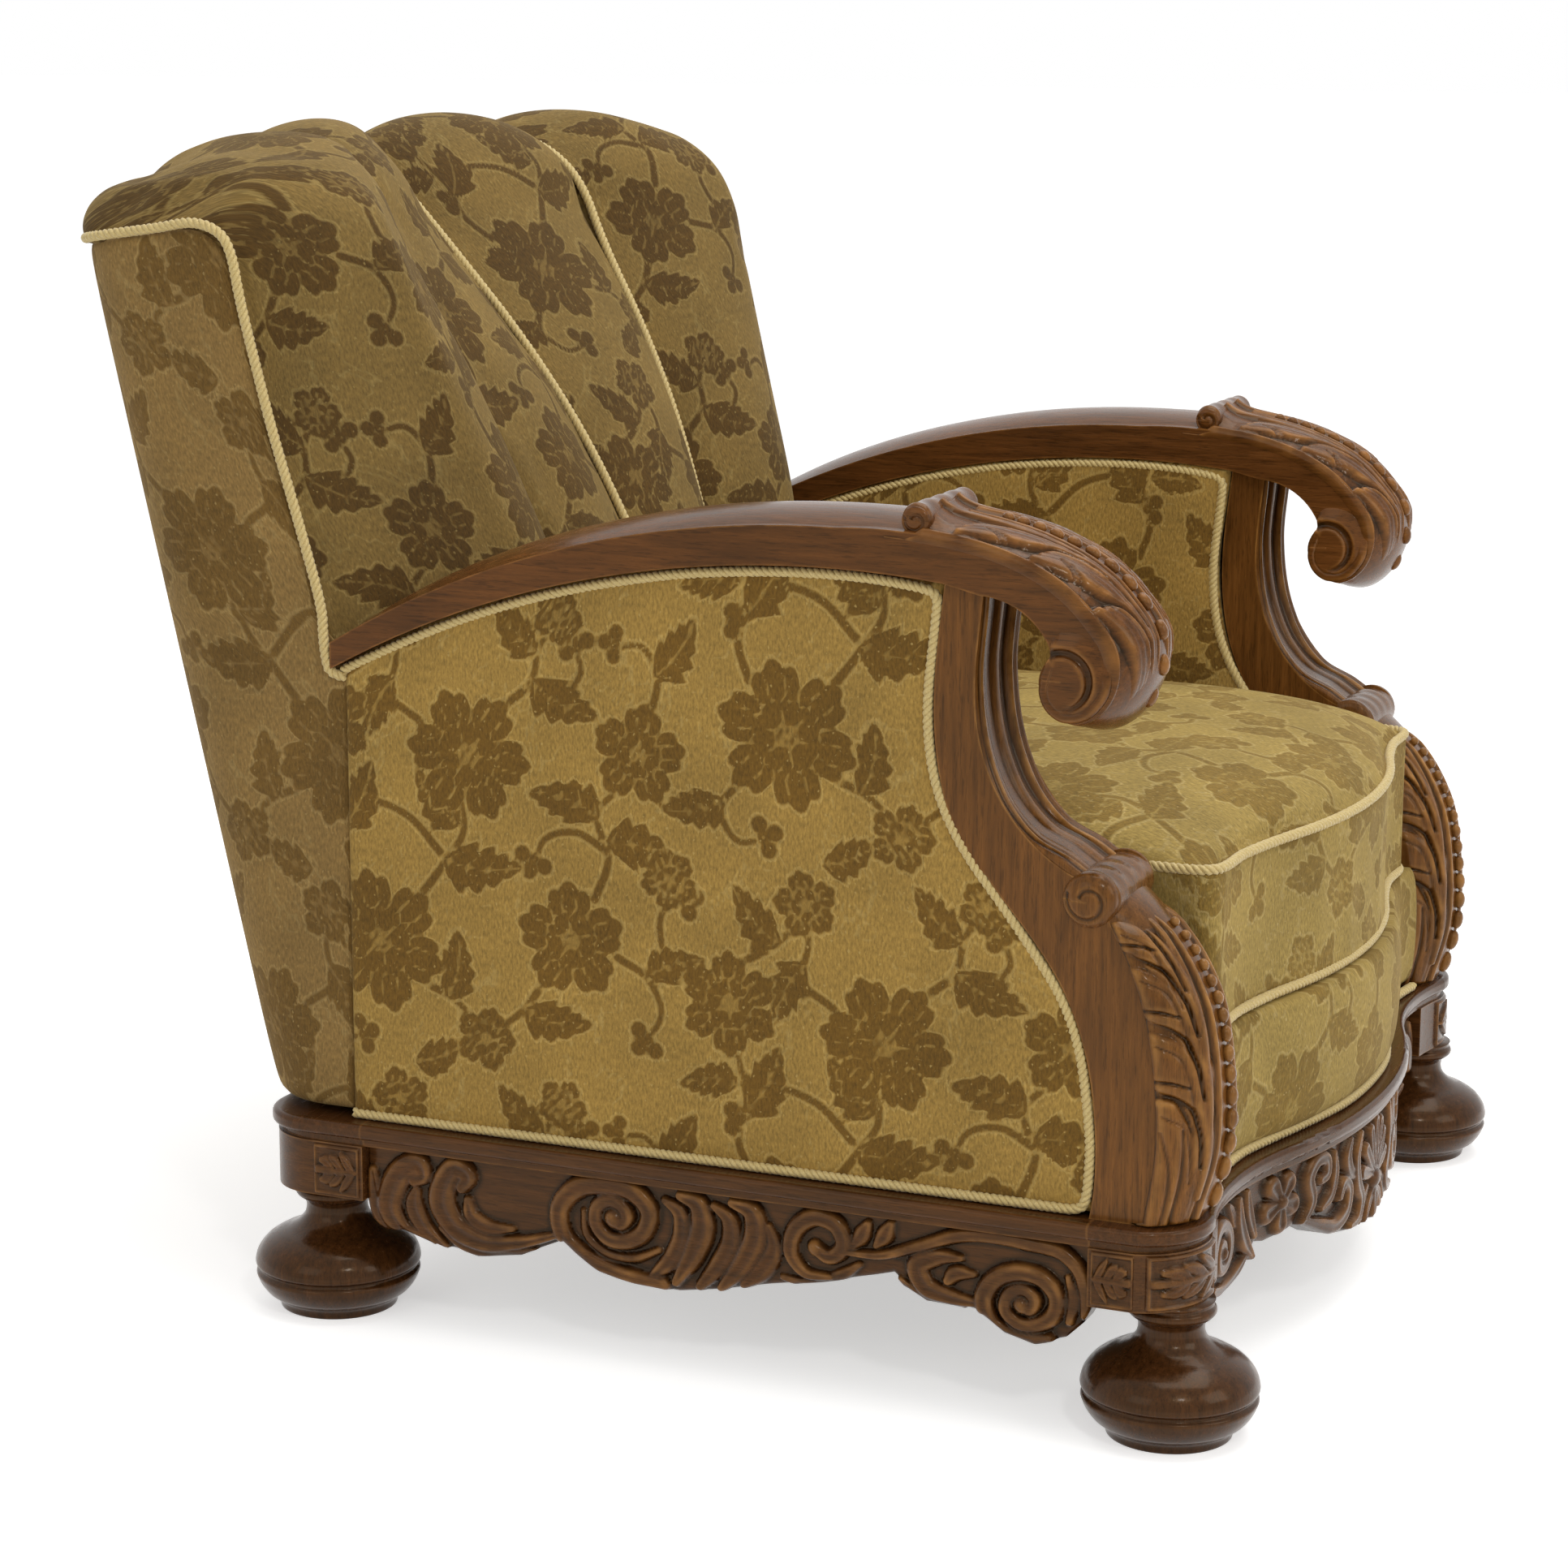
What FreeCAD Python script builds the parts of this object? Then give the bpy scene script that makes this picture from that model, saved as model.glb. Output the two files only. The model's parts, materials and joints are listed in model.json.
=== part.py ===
import FreeCAD, Part
import math
import os

# Carved oak armchair with a channelled back and a loose seat cushion.
# Millimetres. X runs across the chair, -Y is the front and Z is up from the floor.
# While modelling, Y = 0 lies midway between the front and the rear feet.

# Turned feet
foot_x = 328.0
foot_y = 306.5
foot_height = 91.0
foot_base_radius = 41.0
foot_base_height = 5.0
foot_ball_radius = 58.0
foot_ball_height = 28.0
foot_groove = 3.0
foot_ring_radius = 31.0
foot_ring_height = 56.0
foot_neck_radius = 21.0
foot_collar_radius = 28.0
foot_collar_thickness = 18.0
spigot_radius = 12.0
spigot_length = 28.0
fit_clearance = 0.3

# Carved base: corner blocks, aprons and the ledge moulding above them
ledge_half_width = 371.0
ledge_rear_y = 349.0
ledge_thickness = 16.0
ledge_cove = 5.0
ledge_nose_radius = 4.0
ledge_inner_width = 84.0
corner_front_y = 331.0
corner_run_x = 53.0
corner_run_y = 35.0
rear_corner_radius = 40.0
hollow_x = 237.0
hollow_front_y = 323.0
bow_join_x = 160.0
bow_join_y = 338.0
bow_front_y = 365.0
block_height = 39.0
block_inset = 3.0
block_inner_x = 280.0
block_front_length = 69.0
block_rear_length = 86.0
apron_inset = 8.0
apron_thickness = 26.0
apron_scroll_depth = 71.0
front_drop_depth = 81.0

# Arms and arm posts
arm_inner_x = 268.0
arm_width = 96.0
arm_face_height = 24.0
arm_top_z = 579.0
arm_top_y = -85.0
arm_rear_y = 282.0
arm_rear_drop = 99.0
arm_rear_height = 18.0
arm_crown = 9.0
scroll_crown = 18.0
scroll_front_y = -269.0
scroll_eye_y = -236.0
scroll_eye_z = 492.0
volute_radius = 15.0
eye_radius = 7.0
eye_rise = 2.0
lip_radius = 9.0
lip_y = -137.0
post_outer_x = 358.0
post_thickness = 78.0
post_foot_y = -295.0
post_waist_y = -183.0
post_knee_z = 363.0
post_knee_y = -257.0
post_nose = 35.0
post_hollow = 10.0
bud_radius = 15.0
dowel_radius = 5.0
dowel_length = 34.0

# Back box, raked backwards, and the channelled inside back
back_half_width = 356.0
back_depth = 146.0
back_lean = 0.230
back_front_y = 284.0
back_front_z = 460.0
back_side_top_z = 753.0
back_rear_top_z = 736.0
back_corner_radius = 60.0
cover_corner_radius = 14.0
back_seam_y = 276.0
back_top_z = 806.0
cover_thickness = 12.0
valley_low_z = 425.0
valley_ref_z = 521.0
centre_valley_y = 237.0
centre_lean = 0.47
centre_curl = 0.00132
side_valley_y = 241.0
side_valley_lean = 0.30
side_valley_curl = 0.0009
side_valley_x = 141.0
side_valley_fan = 0.105
channel_bulge = 23.0
wing_y = 194.0
wing_lean = 0.34
wing_foot_lean = 0.12
wing_x = 219.0
wing_fan = 0.286
padding_depth = 95.0
wing_clearance = 1.2

# Seat
deck_top_z = 245.0
deck_thickness = 14.0
seat_half_width = 263.0
seat_front_inset = 20.0
seat_rear_y = 163.0
cushion_edge_z = 355.0
cushion_crown = 55.0
cushion_drawn_in = 4.0
cushion_corner_radius = 12.0
cushion_hollow_x = 204.0
border_half_width = 275.0
border_inset = 11.0
border_depth = 58.0
border_swell = 3.0
inside_arm_thickness = 22.0
inside_arm_gap = 6.0
piping_radius = 3.6
piping_gap = 0.3
cord_set_back = 3.2
cord_set_in = 2.0

# Hidden frame, webbing and springs
rail_thickness = 34.0
rail_height = 44.0
webbing_width = 50.0
webbing_thickness = 1.5
upright_width = 40.0
spring_wire = 1.9
spring_radius = 38.0
spring_waist = 26.0
spring_turns = 4
spring_steps = 10
wire_sides = 5

V = FreeCAD.Vector
block_bottom_z = foot_height
ledge_bottom_z = block_bottom_z + block_height
base_top_z = ledge_bottom_z + ledge_thickness
block_front_end_y = -(corner_front_y - block_front_length)
block_rear_end_y = ledge_rear_y - block_rear_length
post_inner_x = post_outer_x - post_thickness
arm_outer_x = arm_inner_x + arm_width
arm_middle_x = arm_inner_x + arm_width / 2
seam_width = 2 * (piping_radius + piping_gap)
inside_arm_face_x = seat_half_width + inside_arm_gap
rail_bottom_z = ledge_bottom_z + ledge_thickness - 1.0 - rail_height
webbing_bottom_z = rail_bottom_z - 2 * webbing_thickness

straight_limit = 1e-4
bend_share = 0.45

nodes = {}


def add(name, shape):
    nodes[name] = shape


def add_pair(name, shape):
    """A piece modelled on the sitter's right (-X) and its mirror image on the left."""
    add("right_" + name, shape)
    add("left_" + name, mirrored(shape))


def mirrored(shape):
    return shape.mirror(V(0, 0, 0), V(1, 0, 0))


def box(x0, x1, y0, y1, z0, z1):
    return Part.makeBox(x1 - x0, y1 - y0, z1 - z0, V(x0, y0, z0))


def side_point(x):
    return lambda p: V(x, p[0], p[1])


def front_point(y):
    return lambda p: V(p[0], y, p[1])


def plan_point(z):
    return lambda p: V(p[0], p[1], z)


def outline(place, start, *steps):
    """Wire through 2D points. A step is an end point, or a pair (via, end) for an arc."""
    edges = []
    here = start
    for step in steps:
        if isinstance(step[0], tuple):
            via, end = step
            edges.append(Part.Arc(place(here), place(via), place(end)).toShape())
        else:
            end = step
            edges.append(Part.LineSegment(place(here), place(end)).toShape())
        here = end
    if math.dist(here, start) > 1e-6:
        edges.append(Part.LineSegment(place(here), place(start)).toShape())
    return Part.Wire(edges)


def slab(wire, direction):
    return Part.Face(wire).extrude(direction)


def rounded_path(points):
    """Straight runs joined by tangent arcs as large as the runs allow."""
    edges = []
    here = points[0]
    for before, corner, after in zip(points, points[1:], points[2:]):
        into = (corner - before) / (corner - before).Length
        out = (after - corner) / (after - corner).Length
        half_turn = into.getAngle(out) / 2
        if half_turn < straight_limit:
            continue
        tangent = bend_share * min((corner - before).Length, (after - corner).Length)
        radius = tangent / math.tan(half_turn)
        bisector = (out - into) / (out - into).Length
        first = corner - into * tangent
        last = corner + out * tangent
        middle = corner + bisector * (radius / math.cos(half_turn) - radius)
        edges.append(Part.LineSegment(here, first).toShape())
        edges.append(Part.Arc(first, middle, last).toShape())
        here = last
    edges.append(Part.LineSegment(here, points[-1]).toShape())
    return Part.Wire(edges)


def tube_runs(points, radius):
    """Round bars along a rounded path: a cylinder on each run and a ring segment on each bend."""
    runs = []
    for edge in rounded_path(points).Edges:
        start = edge.valueAt(edge.FirstParameter)
        along = edge.tangentAt(edge.FirstParameter)
        disc = Part.Face(Part.Wire(Part.makeCircle(radius, start, along)))
        if isinstance(edge.Curve, Part.Circle):
            turn = math.degrees(edge.Length / edge.Curve.Radius)
            arm = start - edge.Curve.Center
            runs.append(disc.revolve(edge.Curve.Center, arm.cross(along), turn))
        else:
            runs.append(disc.extrude(along * edge.Length))
    return runs


def tube(points, radius):
    runs = tube_runs(points, radius)
    return runs[0].multiFuse(runs[1:])


def sew_cord(points, covers):
    """Rope piping along a seam: the soft covers beside it get a groove that it lies in."""
    groove = tube_runs(points, piping_radius + piping_gap)
    for cover in covers:
        nodes[cover] = nodes[cover].cut(groove)
    return tube(points, piping_radius)


def sew_cord_pair(points, covers):
    """A seam on the sitter's right: the covers on the left become mirror images again."""
    rope = sew_cord(points, ["right_" + cover for cover in covers])
    for cover in covers:
        add_pair(cover, nodes["right_" + cover])
    return rope


def back_front_at(z):
    return back_front_y + back_lean * (z - back_front_z)


def back_rear_at(z):
    return back_front_at(z) + back_depth


def valley_at(z, y, lean, curl):
    rise = max(z, valley_low_z) - valley_ref_z
    return y + lean * rise + curl * max(rise, 0) ** 2


def centre_valley_at(z):
    return valley_at(z, centre_valley_y, centre_lean, centre_curl)


def side_valley_at(z):
    return valley_at(z, side_valley_y, side_valley_lean, side_valley_curl)


def side_valley_x_at(z):
    return side_valley_x + side_valley_fan * (max(z, valley_low_z) - valley_ref_z)


def wing_x_at(z):
    return wing_x + wing_fan * (max(z, valley_ref_z) - valley_ref_z)


def wing_y_at(z):
    lean = wing_lean if z > valley_ref_z else wing_foot_lean
    return valley_at(z, wing_y, lean, 0.0)


def base_outline(inset, z):
    """Serpentine plan of the base: eared corners, hollows and a bowed front."""
    x = ledge_half_width - inset
    corner_y = -(corner_front_y - inset)
    ear_x = x - corner_run_x
    ear_via = (x - 0.293 * corner_run_x, corner_y + 0.293 * corner_run_y)
    rear_y = ledge_rear_y - inset
    r = rear_corner_radius
    rear_via = (x - 0.293 * r, rear_y - 0.293 * r)
    hollow = (hollow_x, -(hollow_front_y - inset))
    bow_end = (bow_join_x, -(bow_join_y - inset))
    bow = (0.0, -(bow_front_y - inset))

    def left(p):
        return (-p[0], p[1])

    return outline(
        plan_point(z), (-x, rear_y - r),
        (-x, corner_y + corner_run_y),
        (left(ear_via), (-ear_x, corner_y)),
        (left(hollow), left(bow_end)),
        (bow, bow_end),
        (hollow, (ear_x, corner_y)),
        (ear_via, (x, corner_y + corner_run_y)),
        (x, rear_y - r),
        (rear_via, (x - r, rear_y)),
        (-(x - r), rear_y),
        (left(rear_via), (-x, rear_y - r)))


def base_prism(inset, z0, z1):
    return slab(base_outline(inset, z0), V(0, 0, z1 - z0))


def make_foot():
    step = foot_base_height
    waist = foot_ball_height
    ring_top = foot_ring_height + 4.0
    collar_z = foot_height - foot_collar_thickness
    profile = outline(
        front_point(0), (0, 0),
        (foot_base_radius, 0),
        (foot_base_radius, step),
        (foot_base_radius + 2, step),
        ((foot_ball_radius - 5.5, step + 0.33 * waist), (foot_ball_radius, waist - foot_groove)),
        (foot_ball_radius - foot_groove, waist),
        (foot_ball_radius, waist + foot_groove),
        ((foot_ball_radius - 7, waist + 20), (foot_ring_radius, foot_ring_height)),
        (foot_ring_radius, ring_top),
        (foot_ring_radius - 3, ring_top),
        ((foot_neck_radius, (ring_top + collar_z) / 2), (foot_collar_radius - 3, collar_z)),
        (foot_collar_radius, collar_z),
        (foot_collar_radius, foot_height),
        (spigot_radius, foot_height),
        (spigot_radius, foot_height + spigot_length),
        (0, foot_height + spigot_length))
    return Part.Face(profile).revolve(V(0, 0, 0), V(0, 0, 1), 360)


def add_feet():
    foot = make_foot()
    for row, sign in (("front", -1), ("rear", 1)):
        placed = foot.copy()
        placed.translate(V(-foot_x, sign * foot_y, 0))
        add_pair(row + "_foot", placed)


def add_blocks():
    stock = base_prism(block_inset, block_bottom_z, ledge_bottom_z)
    far = ledge_half_width + ledge_rear_y
    for row, y0, y1, sign in (("front", -far, block_front_end_y, -1), ("rear", block_rear_end_y, far, 1)):
        block = stock.common(box(-far, -block_inner_x, y0, y1, block_bottom_z, ledge_bottom_z))
        hole = Part.makeCylinder(spigot_radius + fit_clearance, spigot_length + fit_clearance,
                                 V(-foot_x, sign * foot_y, block_bottom_z))
        add_pair(row + "_block", block.cut(hole))


def add_aprons():
    far = ledge_half_width + ledge_rear_y
    top = ledge_bottom_z
    low = top - apron_scroll_depth
    cusp = top - 48.0
    rear = block_rear_end_y
    front = block_front_end_y
    outer = -(ledge_half_width - apron_inset)
    side = outline(
        side_point(outer), (front, top),
        (rear, top),
        (rear, cusp + 5),
        ((rear - 5, low + 11), (rear - 27, low + 15)),
        ((rear - 84, low + 1), (rear - 149, cusp)),
        ((rear - 200, low - 3), (rear - 263, low + 4)),
        (rear - 387, top - 39),
        ((rear - 413, low + 17), (rear - 453, low + 15)),
        ((rear - 489, low), (front, cusp + 5)))
    add_pair("side_apron", slab(side, V(apron_thickness, 0, 0)))

    x = block_inner_x
    lobe = outline(
        front_point(-far), (-x, top),
        (-x, cusp + 3),
        ((-x + 45, low + 2), (-bow_join_x - 18, cusp)),
        ((-bow_join_x + 8, cusp - 3), (-bow_join_x + 33, cusp)),
        ((0, top - front_drop_depth), (bow_join_x - 33, cusp)),
        ((bow_join_x - 8, cusp - 3), (bow_join_x + 18, cusp)),
        ((x - 45, low + 2), (x, cusp + 3)),
        (x, top))
    depth = front_drop_depth + 1
    ring = base_prism(apron_inset, top - depth, top).cut(
        base_prism(apron_inset + apron_thickness, top - depth, top))
    add("front_apron", ring.common(slab(lobe, V(0, far, 0))))

    rear_y = ledge_rear_y - apron_inset
    add("rear_apron", box(-x, x, rear_y - apron_thickness, rear_y, block_bottom_z, top))


def add_ledges():
    nose = base_prism(0, ledge_bottom_z + ledge_cove, base_top_z)
    rim = [e for e in nose.Edges if abs(e.BoundBox.ZMax - e.BoundBox.ZMin) < 1e-6]
    nose = nose.makeFillet(ledge_nose_radius, rim)
    cove = base_prism(ledge_cove, ledge_bottom_z, ledge_bottom_z + ledge_cove)
    ring = nose.fuse(cove).removeSplitter()
    open_x = ledge_half_width - ledge_inner_width
    ring = ring.cut(box(-open_x, open_x, block_front_end_y, block_rear_end_y, ledge_bottom_z, base_top_z))
    far = ledge_half_width + ledge_rear_y
    z0, z1 = ledge_bottom_z, base_top_z
    add("front_ledge", ring.common(box(-far, far, -far, block_front_end_y, z0, z1)))
    add("rear_ledge", ring.common(box(-far, far, block_rear_end_y, far, z0, z1)))
    add_pair("side_ledge", ring.common(box(-far, 0, block_front_end_y, block_rear_end_y, z0, z1)))


def arm_curves():
    """Key points of the arm's top edge, from the rear end over the scroll to the volute's foot."""
    top = (arm_top_y, arm_top_z)
    rear = (arm_rear_y, arm_top_z - arm_rear_drop)
    rear_via = (arm_top_y + 186, arm_top_z - 23)
    shoulder = (arm_top_y - 128, arm_top_z - 18)
    shoulder_via = (arm_top_y - 64, arm_top_z - 2)
    front = (scroll_front_y, scroll_eye_z + 6)
    front_via = (scroll_front_y + 14, scroll_eye_z + 37)
    low = (scroll_eye_y - 9, scroll_eye_z - 27)
    low_via = (scroll_front_y + 7, scroll_eye_z - 16)
    return rear, rear_via, top, shoulder_via, shoulder, front_via, front, low_via, low


def arm_underside():
    """Joint with the post, an arc's via point and the rear end, one face height below the top edge."""
    front = (post_waist_y + 27, arm_top_z - arm_face_height - 7)
    via = (arm_top_y + 127, arm_top_z - arm_face_height - 11)
    rear = (arm_rear_y, arm_top_z - arm_rear_drop - arm_rear_height)
    return front, via, rear


def make_arm():
    rear, rear_via, top, shoulder_via, shoulder, front_via, front, low_via, low = arm_curves()
    under_front, under_via, under_rear = arm_underside()
    post_front = (post_waist_y + 2, under_front[1] - 6)
    notch = (scroll_eye_y + 6, scroll_eye_z + volute_radius)
    inner = (scroll_eye_y + volute_radius, scroll_eye_z - 3)
    side = outline(
        side_point(-arm_outer_x), rear,
        (rear_via, top),
        (shoulder_via, shoulder),
        (front_via, front),
        (low_via, low),
        ((scroll_eye_y + 10, scroll_eye_z - 16), inner),
        ((scroll_eye_y + 13, scroll_eye_z + 7), notch),
        ((notch[0] + 11, notch[1] + 18), post_front),
        under_front,
        (under_via, under_rear))
    body = slab(side, V(arm_width, 0, 0))
    rail = [arm_arc(rear, rear_via, top), arm_arc(top, shoulder_via, shoulder)]
    rear_stops = [(0, 0.0, 0.4), (0, 0.2, 0.85), (0, 0.4, 1.0), (0, 0.6, 1.0), (0, 0.8, 1.0), (0, 1.0, 1.0),
                  (1, 0.5, 1.0)]
    rear_crown = arm_crown_loft(rail, rear_stops, arm_width - 14, arm_crown)
    rail = rail[1:] + [arm_arc(shoulder, front_via, front), arm_arc(front, low_via, low)]
    leaf_stops = [(0, 0.35, 0.5), (0, 0.57, 0.54), (0, 0.78, 0.6), (0, 1.0, 0.68), (1, 0.33, 0.85),
                  (1, 0.67, 0.95), (1, 1.0, 1.0), (2, 0.5, 0.8), (2, 1.0, 0.3)]
    leaf_crown = arm_crown_loft(rail, leaf_stops, arm_width, scroll_crown)
    lip_z = arm_top_z + lip_radius - 2
    lip = Part.makeCylinder(lip_radius, arm_width - 24, V(-arm_outer_x + 12, lip_y, lip_z), V(1, 0, 0))
    eye = Part.makeCylinder(eye_radius, arm_width + 2 * eye_rise,
                            V(-arm_outer_x - eye_rise, scroll_eye_y, scroll_eye_z), V(1, 0, 0))
    return body.multiFuse([rear_crown, leaf_crown, lip, eye]).removeSplitter()


def arm_arc(start, via, end):
    place = side_point(-arm_middle_x)
    return Part.Arc(place(start), place(via), place(end)).toShape()


def arm_crown_loft(rail, stops, width, crown):
    """Domed top of the arm, through cross sections at (arc, share along it, share of the crown)."""
    sections = []
    for index, share, height in stops:
        edge = rail[index]
        at = edge.FirstParameter + share * (edge.LastParameter - edge.FirstParameter)
        start = edge.valueAt(at)
        out = edge.tangentAt(at).cross(V(1, 0, 0))
        a = start + V(-width / 2, 0, 0)
        b = start + V(width / 2, 0, 0)
        sunk = out * -4.0
        sections.append(Part.Wire([
            Part.LineSegment(a + sunk, a).toShape(),
            Part.Arc(a, start + out * (crown * height), b).toShape(),
            Part.LineSegment(b, b + sunk).toShape(),
            Part.LineSegment(b + sunk, a + sunk).toShape()]))
    return Part.makeLoft(sections, True, False)


def post_rear_edge():
    """Rear edge of the post, where the arm covers begin, from the ledge to the arm."""
    top = arm_underside()[0]
    return [(post_foot_y + 36, base_top_z), (post_foot_y + 32, base_top_z + 56),
            (post_foot_y + 43, base_top_z + 129), (post_waist_y - 31, post_knee_z - 34),
            (post_waist_y + 21, post_knee_z + 30), (post_waist_y + 36, post_knee_z + 91), top]


def edge_y_at(points, z):
    for (y0, z0), (y1, z1) in zip(points, points[1:]):
        if z <= z1:
            return y0 + (y1 - y0) * (z - z0) / (z1 - z0)
    return points[-1][0]


def post_section(z, shoulder, crest):
    """Plan of the post: straight sides and a front that is a convex nose or a hollow."""
    rear = edge_y_at(post_rear_edge(), z)
    middle = -(post_outer_x + post_inner_x) / 2
    return outline(
        plan_point(z), (-post_inner_x, rear),
        (-post_outer_x, rear),
        (-post_outer_x, shoulder),
        ((middle, crest), (-post_inner_x, shoulder)))


def make_post():
    foot, knee = base_top_z, post_knee_z
    rise = knee - foot
    nose = post_nose
    lower = [(foot, post_foot_y + 1, nose - 5), (foot + 0.22 * rise, post_foot_y - 6, nose),
             (foot + 0.45 * rise, post_foot_y - 4, nose + 1), (foot + 0.68 * rise, post_foot_y + 6, nose),
             (foot + 0.88 * rise, post_foot_y + 25, nose - 10), (knee, post_knee_y, nose - 30)]
    top = arm_underside()[0][1]
    upper = [(knee, post_knee_y, 2), (knee + 25, post_waist_y - 32, -post_hollow),
             (knee + 66, post_waist_y - 4, -post_hollow), (knee + 122, post_waist_y + 6, -post_hollow),
             (top, post_waist_y + 1, -post_hollow)]
    sections = [post_section(z, y, y - crest) for z, y, crest in lower]
    leaf = Part.makeLoft(sections, True, False)
    sections = [post_section(z, y, y - crest) for z, y, crest in upper]
    shaft = Part.makeLoft(sections, True, False)
    bud = Part.makeCylinder(bud_radius, post_thickness - 12,
                            V(-post_outer_x + 6, post_knee_y + 5, post_knee_z - 10), V(1, 0, 0))
    return leaf.multiFuse([shaft, bud]).removeSplitter()


def add_arms():
    arm = make_arm()
    post = make_post().cut(arm)
    dowels = []
    y = post_waist_y + 14
    z = arm_underside()[0][1] - 3 - dowel_length / 2
    for x in (post_inner_x + 20, post_outer_x - 20):
        hole = Part.makeCylinder(dowel_radius + fit_clearance, dowel_length + 2 * fit_clearance,
                                 V(-x, y, z - fit_clearance))
        arm = arm.cut(hole)
        post = post.cut(hole)
        dowel = Part.makeCylinder(dowel_radius, dowel_length, V(-x, y, z))
        dowels += [dowel, mirrored(dowel)]
    add_pair("arm", arm)
    add_pair("arm_post", post)
    add("arm_dowels", Part.makeCompound(dowels))


def arm_cover_edge(inset):
    """Edge of an arm cover, from the rear foot of the post line up and back under the arm."""
    front, via, rear = arm_underside()
    post = [(y + inset, z) for y, z in post_rear_edge()]
    return post, (front[0] + inset, front[1] - inset), (via[0], via[1] - inset), (back_seam_y, rear[1] - inset)


def arm_cover(x0, x1, bottom, inset):
    post, front, via, rear = arm_cover_edge(inset)
    points = [p for p in post if bottom < p[1] < front[1]]
    foot = (edge_y_at(post, bottom), bottom)
    wire = outline(side_point(x0), (rear[0], bottom), foot, *points, front, (via, rear))
    return slab(wire, V(x1 - x0, 0, 0))


def arm_cord(x, bottom, first_end):
    inset = seam_width / 2 + cord_set_back
    post, front, via, rear = arm_cover_edge(inset)
    line = [first_end] if first_end else []
    line += [(edge_y_at(post, bottom), bottom)]
    line += [p for p in post if bottom + 20 < p[1] < front[1] - 20]
    line += [(front[0] + 2, front[1] - 2)]
    middle = ((front[0] + via[0]) / 2, via[1] + 2)
    after = ((via[0] + rear[0]) / 2, (via[1] + rear[1]) / 2 + 13)
    line += [middle, via, after, (rear[0] - 2, rear[1])]
    return [V(x, y, z) for y, z in line]


def add_arm_covers():
    outer = -(post_outer_x - 1)
    low = base_top_z
    add_pair("outside_arm", arm_cover(outer, outer + cover_thickness, low + seam_width, seam_width))
    face = -inside_arm_face_x
    pad_low = deck_top_z
    add_pair("inside_arm", arm_cover(face - inside_arm_thickness, face, pad_low, seam_width))
    start = (back_seam_y - 1, low + seam_width / 2)
    route = arm_cord(outer + piping_radius - 1, low + seam_width / 2, start)
    add_pair("outside_arm_piping", sew_cord_pair(route, ["outside_arm"]))
    route = arm_cord(face - piping_radius + 1, pad_low + piping_radius, None)
    add_pair("inside_arm_piping", sew_cord_pair(route, ["inside_arm"]))


def inner_channel_section(z, rear):
    crest_drop = channel_bulge * min(1.0, (back_top_z + 12 - z) / 80)
    x = side_valley_x_at(z)
    inner = (0.0, min(centre_valley_at(z), rear - 6))
    outer = (-x, min(side_valley_at(z), rear - 6))
    crest = (-x / 2, (inner[1] + outer[1]) / 2 - crest_drop)
    return outline(plan_point(z), outer, (crest, inner), (0.0, rear), (-x, rear))


def wing_front(z, valley, side):
    """Front of an outer channel: a swell from its valley to the crest, then a flank to the side seam."""
    crest_x = wing_x_at(min(z, back_side_top_z))
    crest = (-crest_x, wing_y_at(z) + max(0.0, z - back_side_top_z) * 0.5)
    inner_via = (0.7 * crest[0] + 0.3 * valley[0], crest[1] + 0.16 * (valley[1] - crest[1]))
    flank_via = (0.35 * crest[0] + 0.65 * side[0], crest[1] + 0.38 * (side[1] - crest[1]))
    return (inner_via, crest), (flank_via, side)


def outer_channel_section(z):
    rear = back_front_at(z) + padding_depth
    x = side_valley_x_at(z) + piping_gap
    valley = (-x, side_valley_at(z))
    side = (-back_half_width, back_front_at(z) - seam_width)
    hidden_x = back_half_width - cover_thickness - wing_clearance
    swell, flank = wing_front(z, valley, side)
    return outline(plan_point(z), valley, swell, flank, (-hidden_x, side[1]), (-hidden_x, rear), (-x, rear))


def outer_cap_section(z, rear, side_x, side_y):
    x = side_valley_x_at(z) + piping_gap
    valley = (-x, min(side_valley_at(z), rear - 6))
    swell, flank = wing_front(z, valley, (-side_x, side_y))
    r = back_corner_radius
    corner = ((-side_x + 0.293 * r, rear - 0.293 * r), (-side_x + r, rear))
    return outline(plan_point(z), valley, swell, flank, (-side_x, rear - r), corner, (-x, rear))


def add_channels():
    shoulder = back_rear_top_z + seam_width
    rise = shoulder - valley_ref_z
    low_levels = [deck_top_z, (deck_top_z + valley_low_z) / 2, valley_low_z]
    low_levels += [valley_ref_z + share * rise for share in (0.0, 0.3, 0.58, 0.84, 1.0)]
    swell = back_top_z - shoulder
    top_levels = [(shoulder, 0.0, 0.0), (shoulder + 0.36 * swell, -2.0, 2.0), (shoulder + 0.7 * swell, 10.0, 13.0),
                  (shoulder + 0.9 * swell, 30.0, 33.0), (back_top_z, 54.0, 62.0)]
    inner_low = [inner_channel_section(z, back_front_at(z) + padding_depth) for z in low_levels]
    inner_top = [inner_channel_section(z, back_rear_at(shoulder) - drop) for z, drop, tuck in top_levels]
    inner = Part.makeLoft(inner_low, True, False).fuse(Part.makeLoft(inner_top, True, False))
    add_pair("inner_channel", inner.removeSplitter())

    outer_low = [outer_channel_section(z) for z in low_levels]
    outer_top = []
    for z, drop, tuck in top_levels:
        side_y = back_front_at(min(z, back_side_top_z)) - seam_width + tuck / 2
        rear = back_rear_at(shoulder) - drop
        outer_top.append(outer_cap_section(z, rear, back_half_width - tuck, side_y))
    cap = Part.makeLoft(outer_top, True, False).cut(cap_seat())
    outer = Part.makeLoft(outer_low, True, False).cut(under_arm_region())
    add_pair("outer_channel", outer.fuse(cap).removeSplitter())


def cover_corner(grow):
    """Side view of the upper front corner of the outside back, moved out by grow."""
    z = back_side_top_z + grow
    return back_front_at(z) - grow, z


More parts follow.
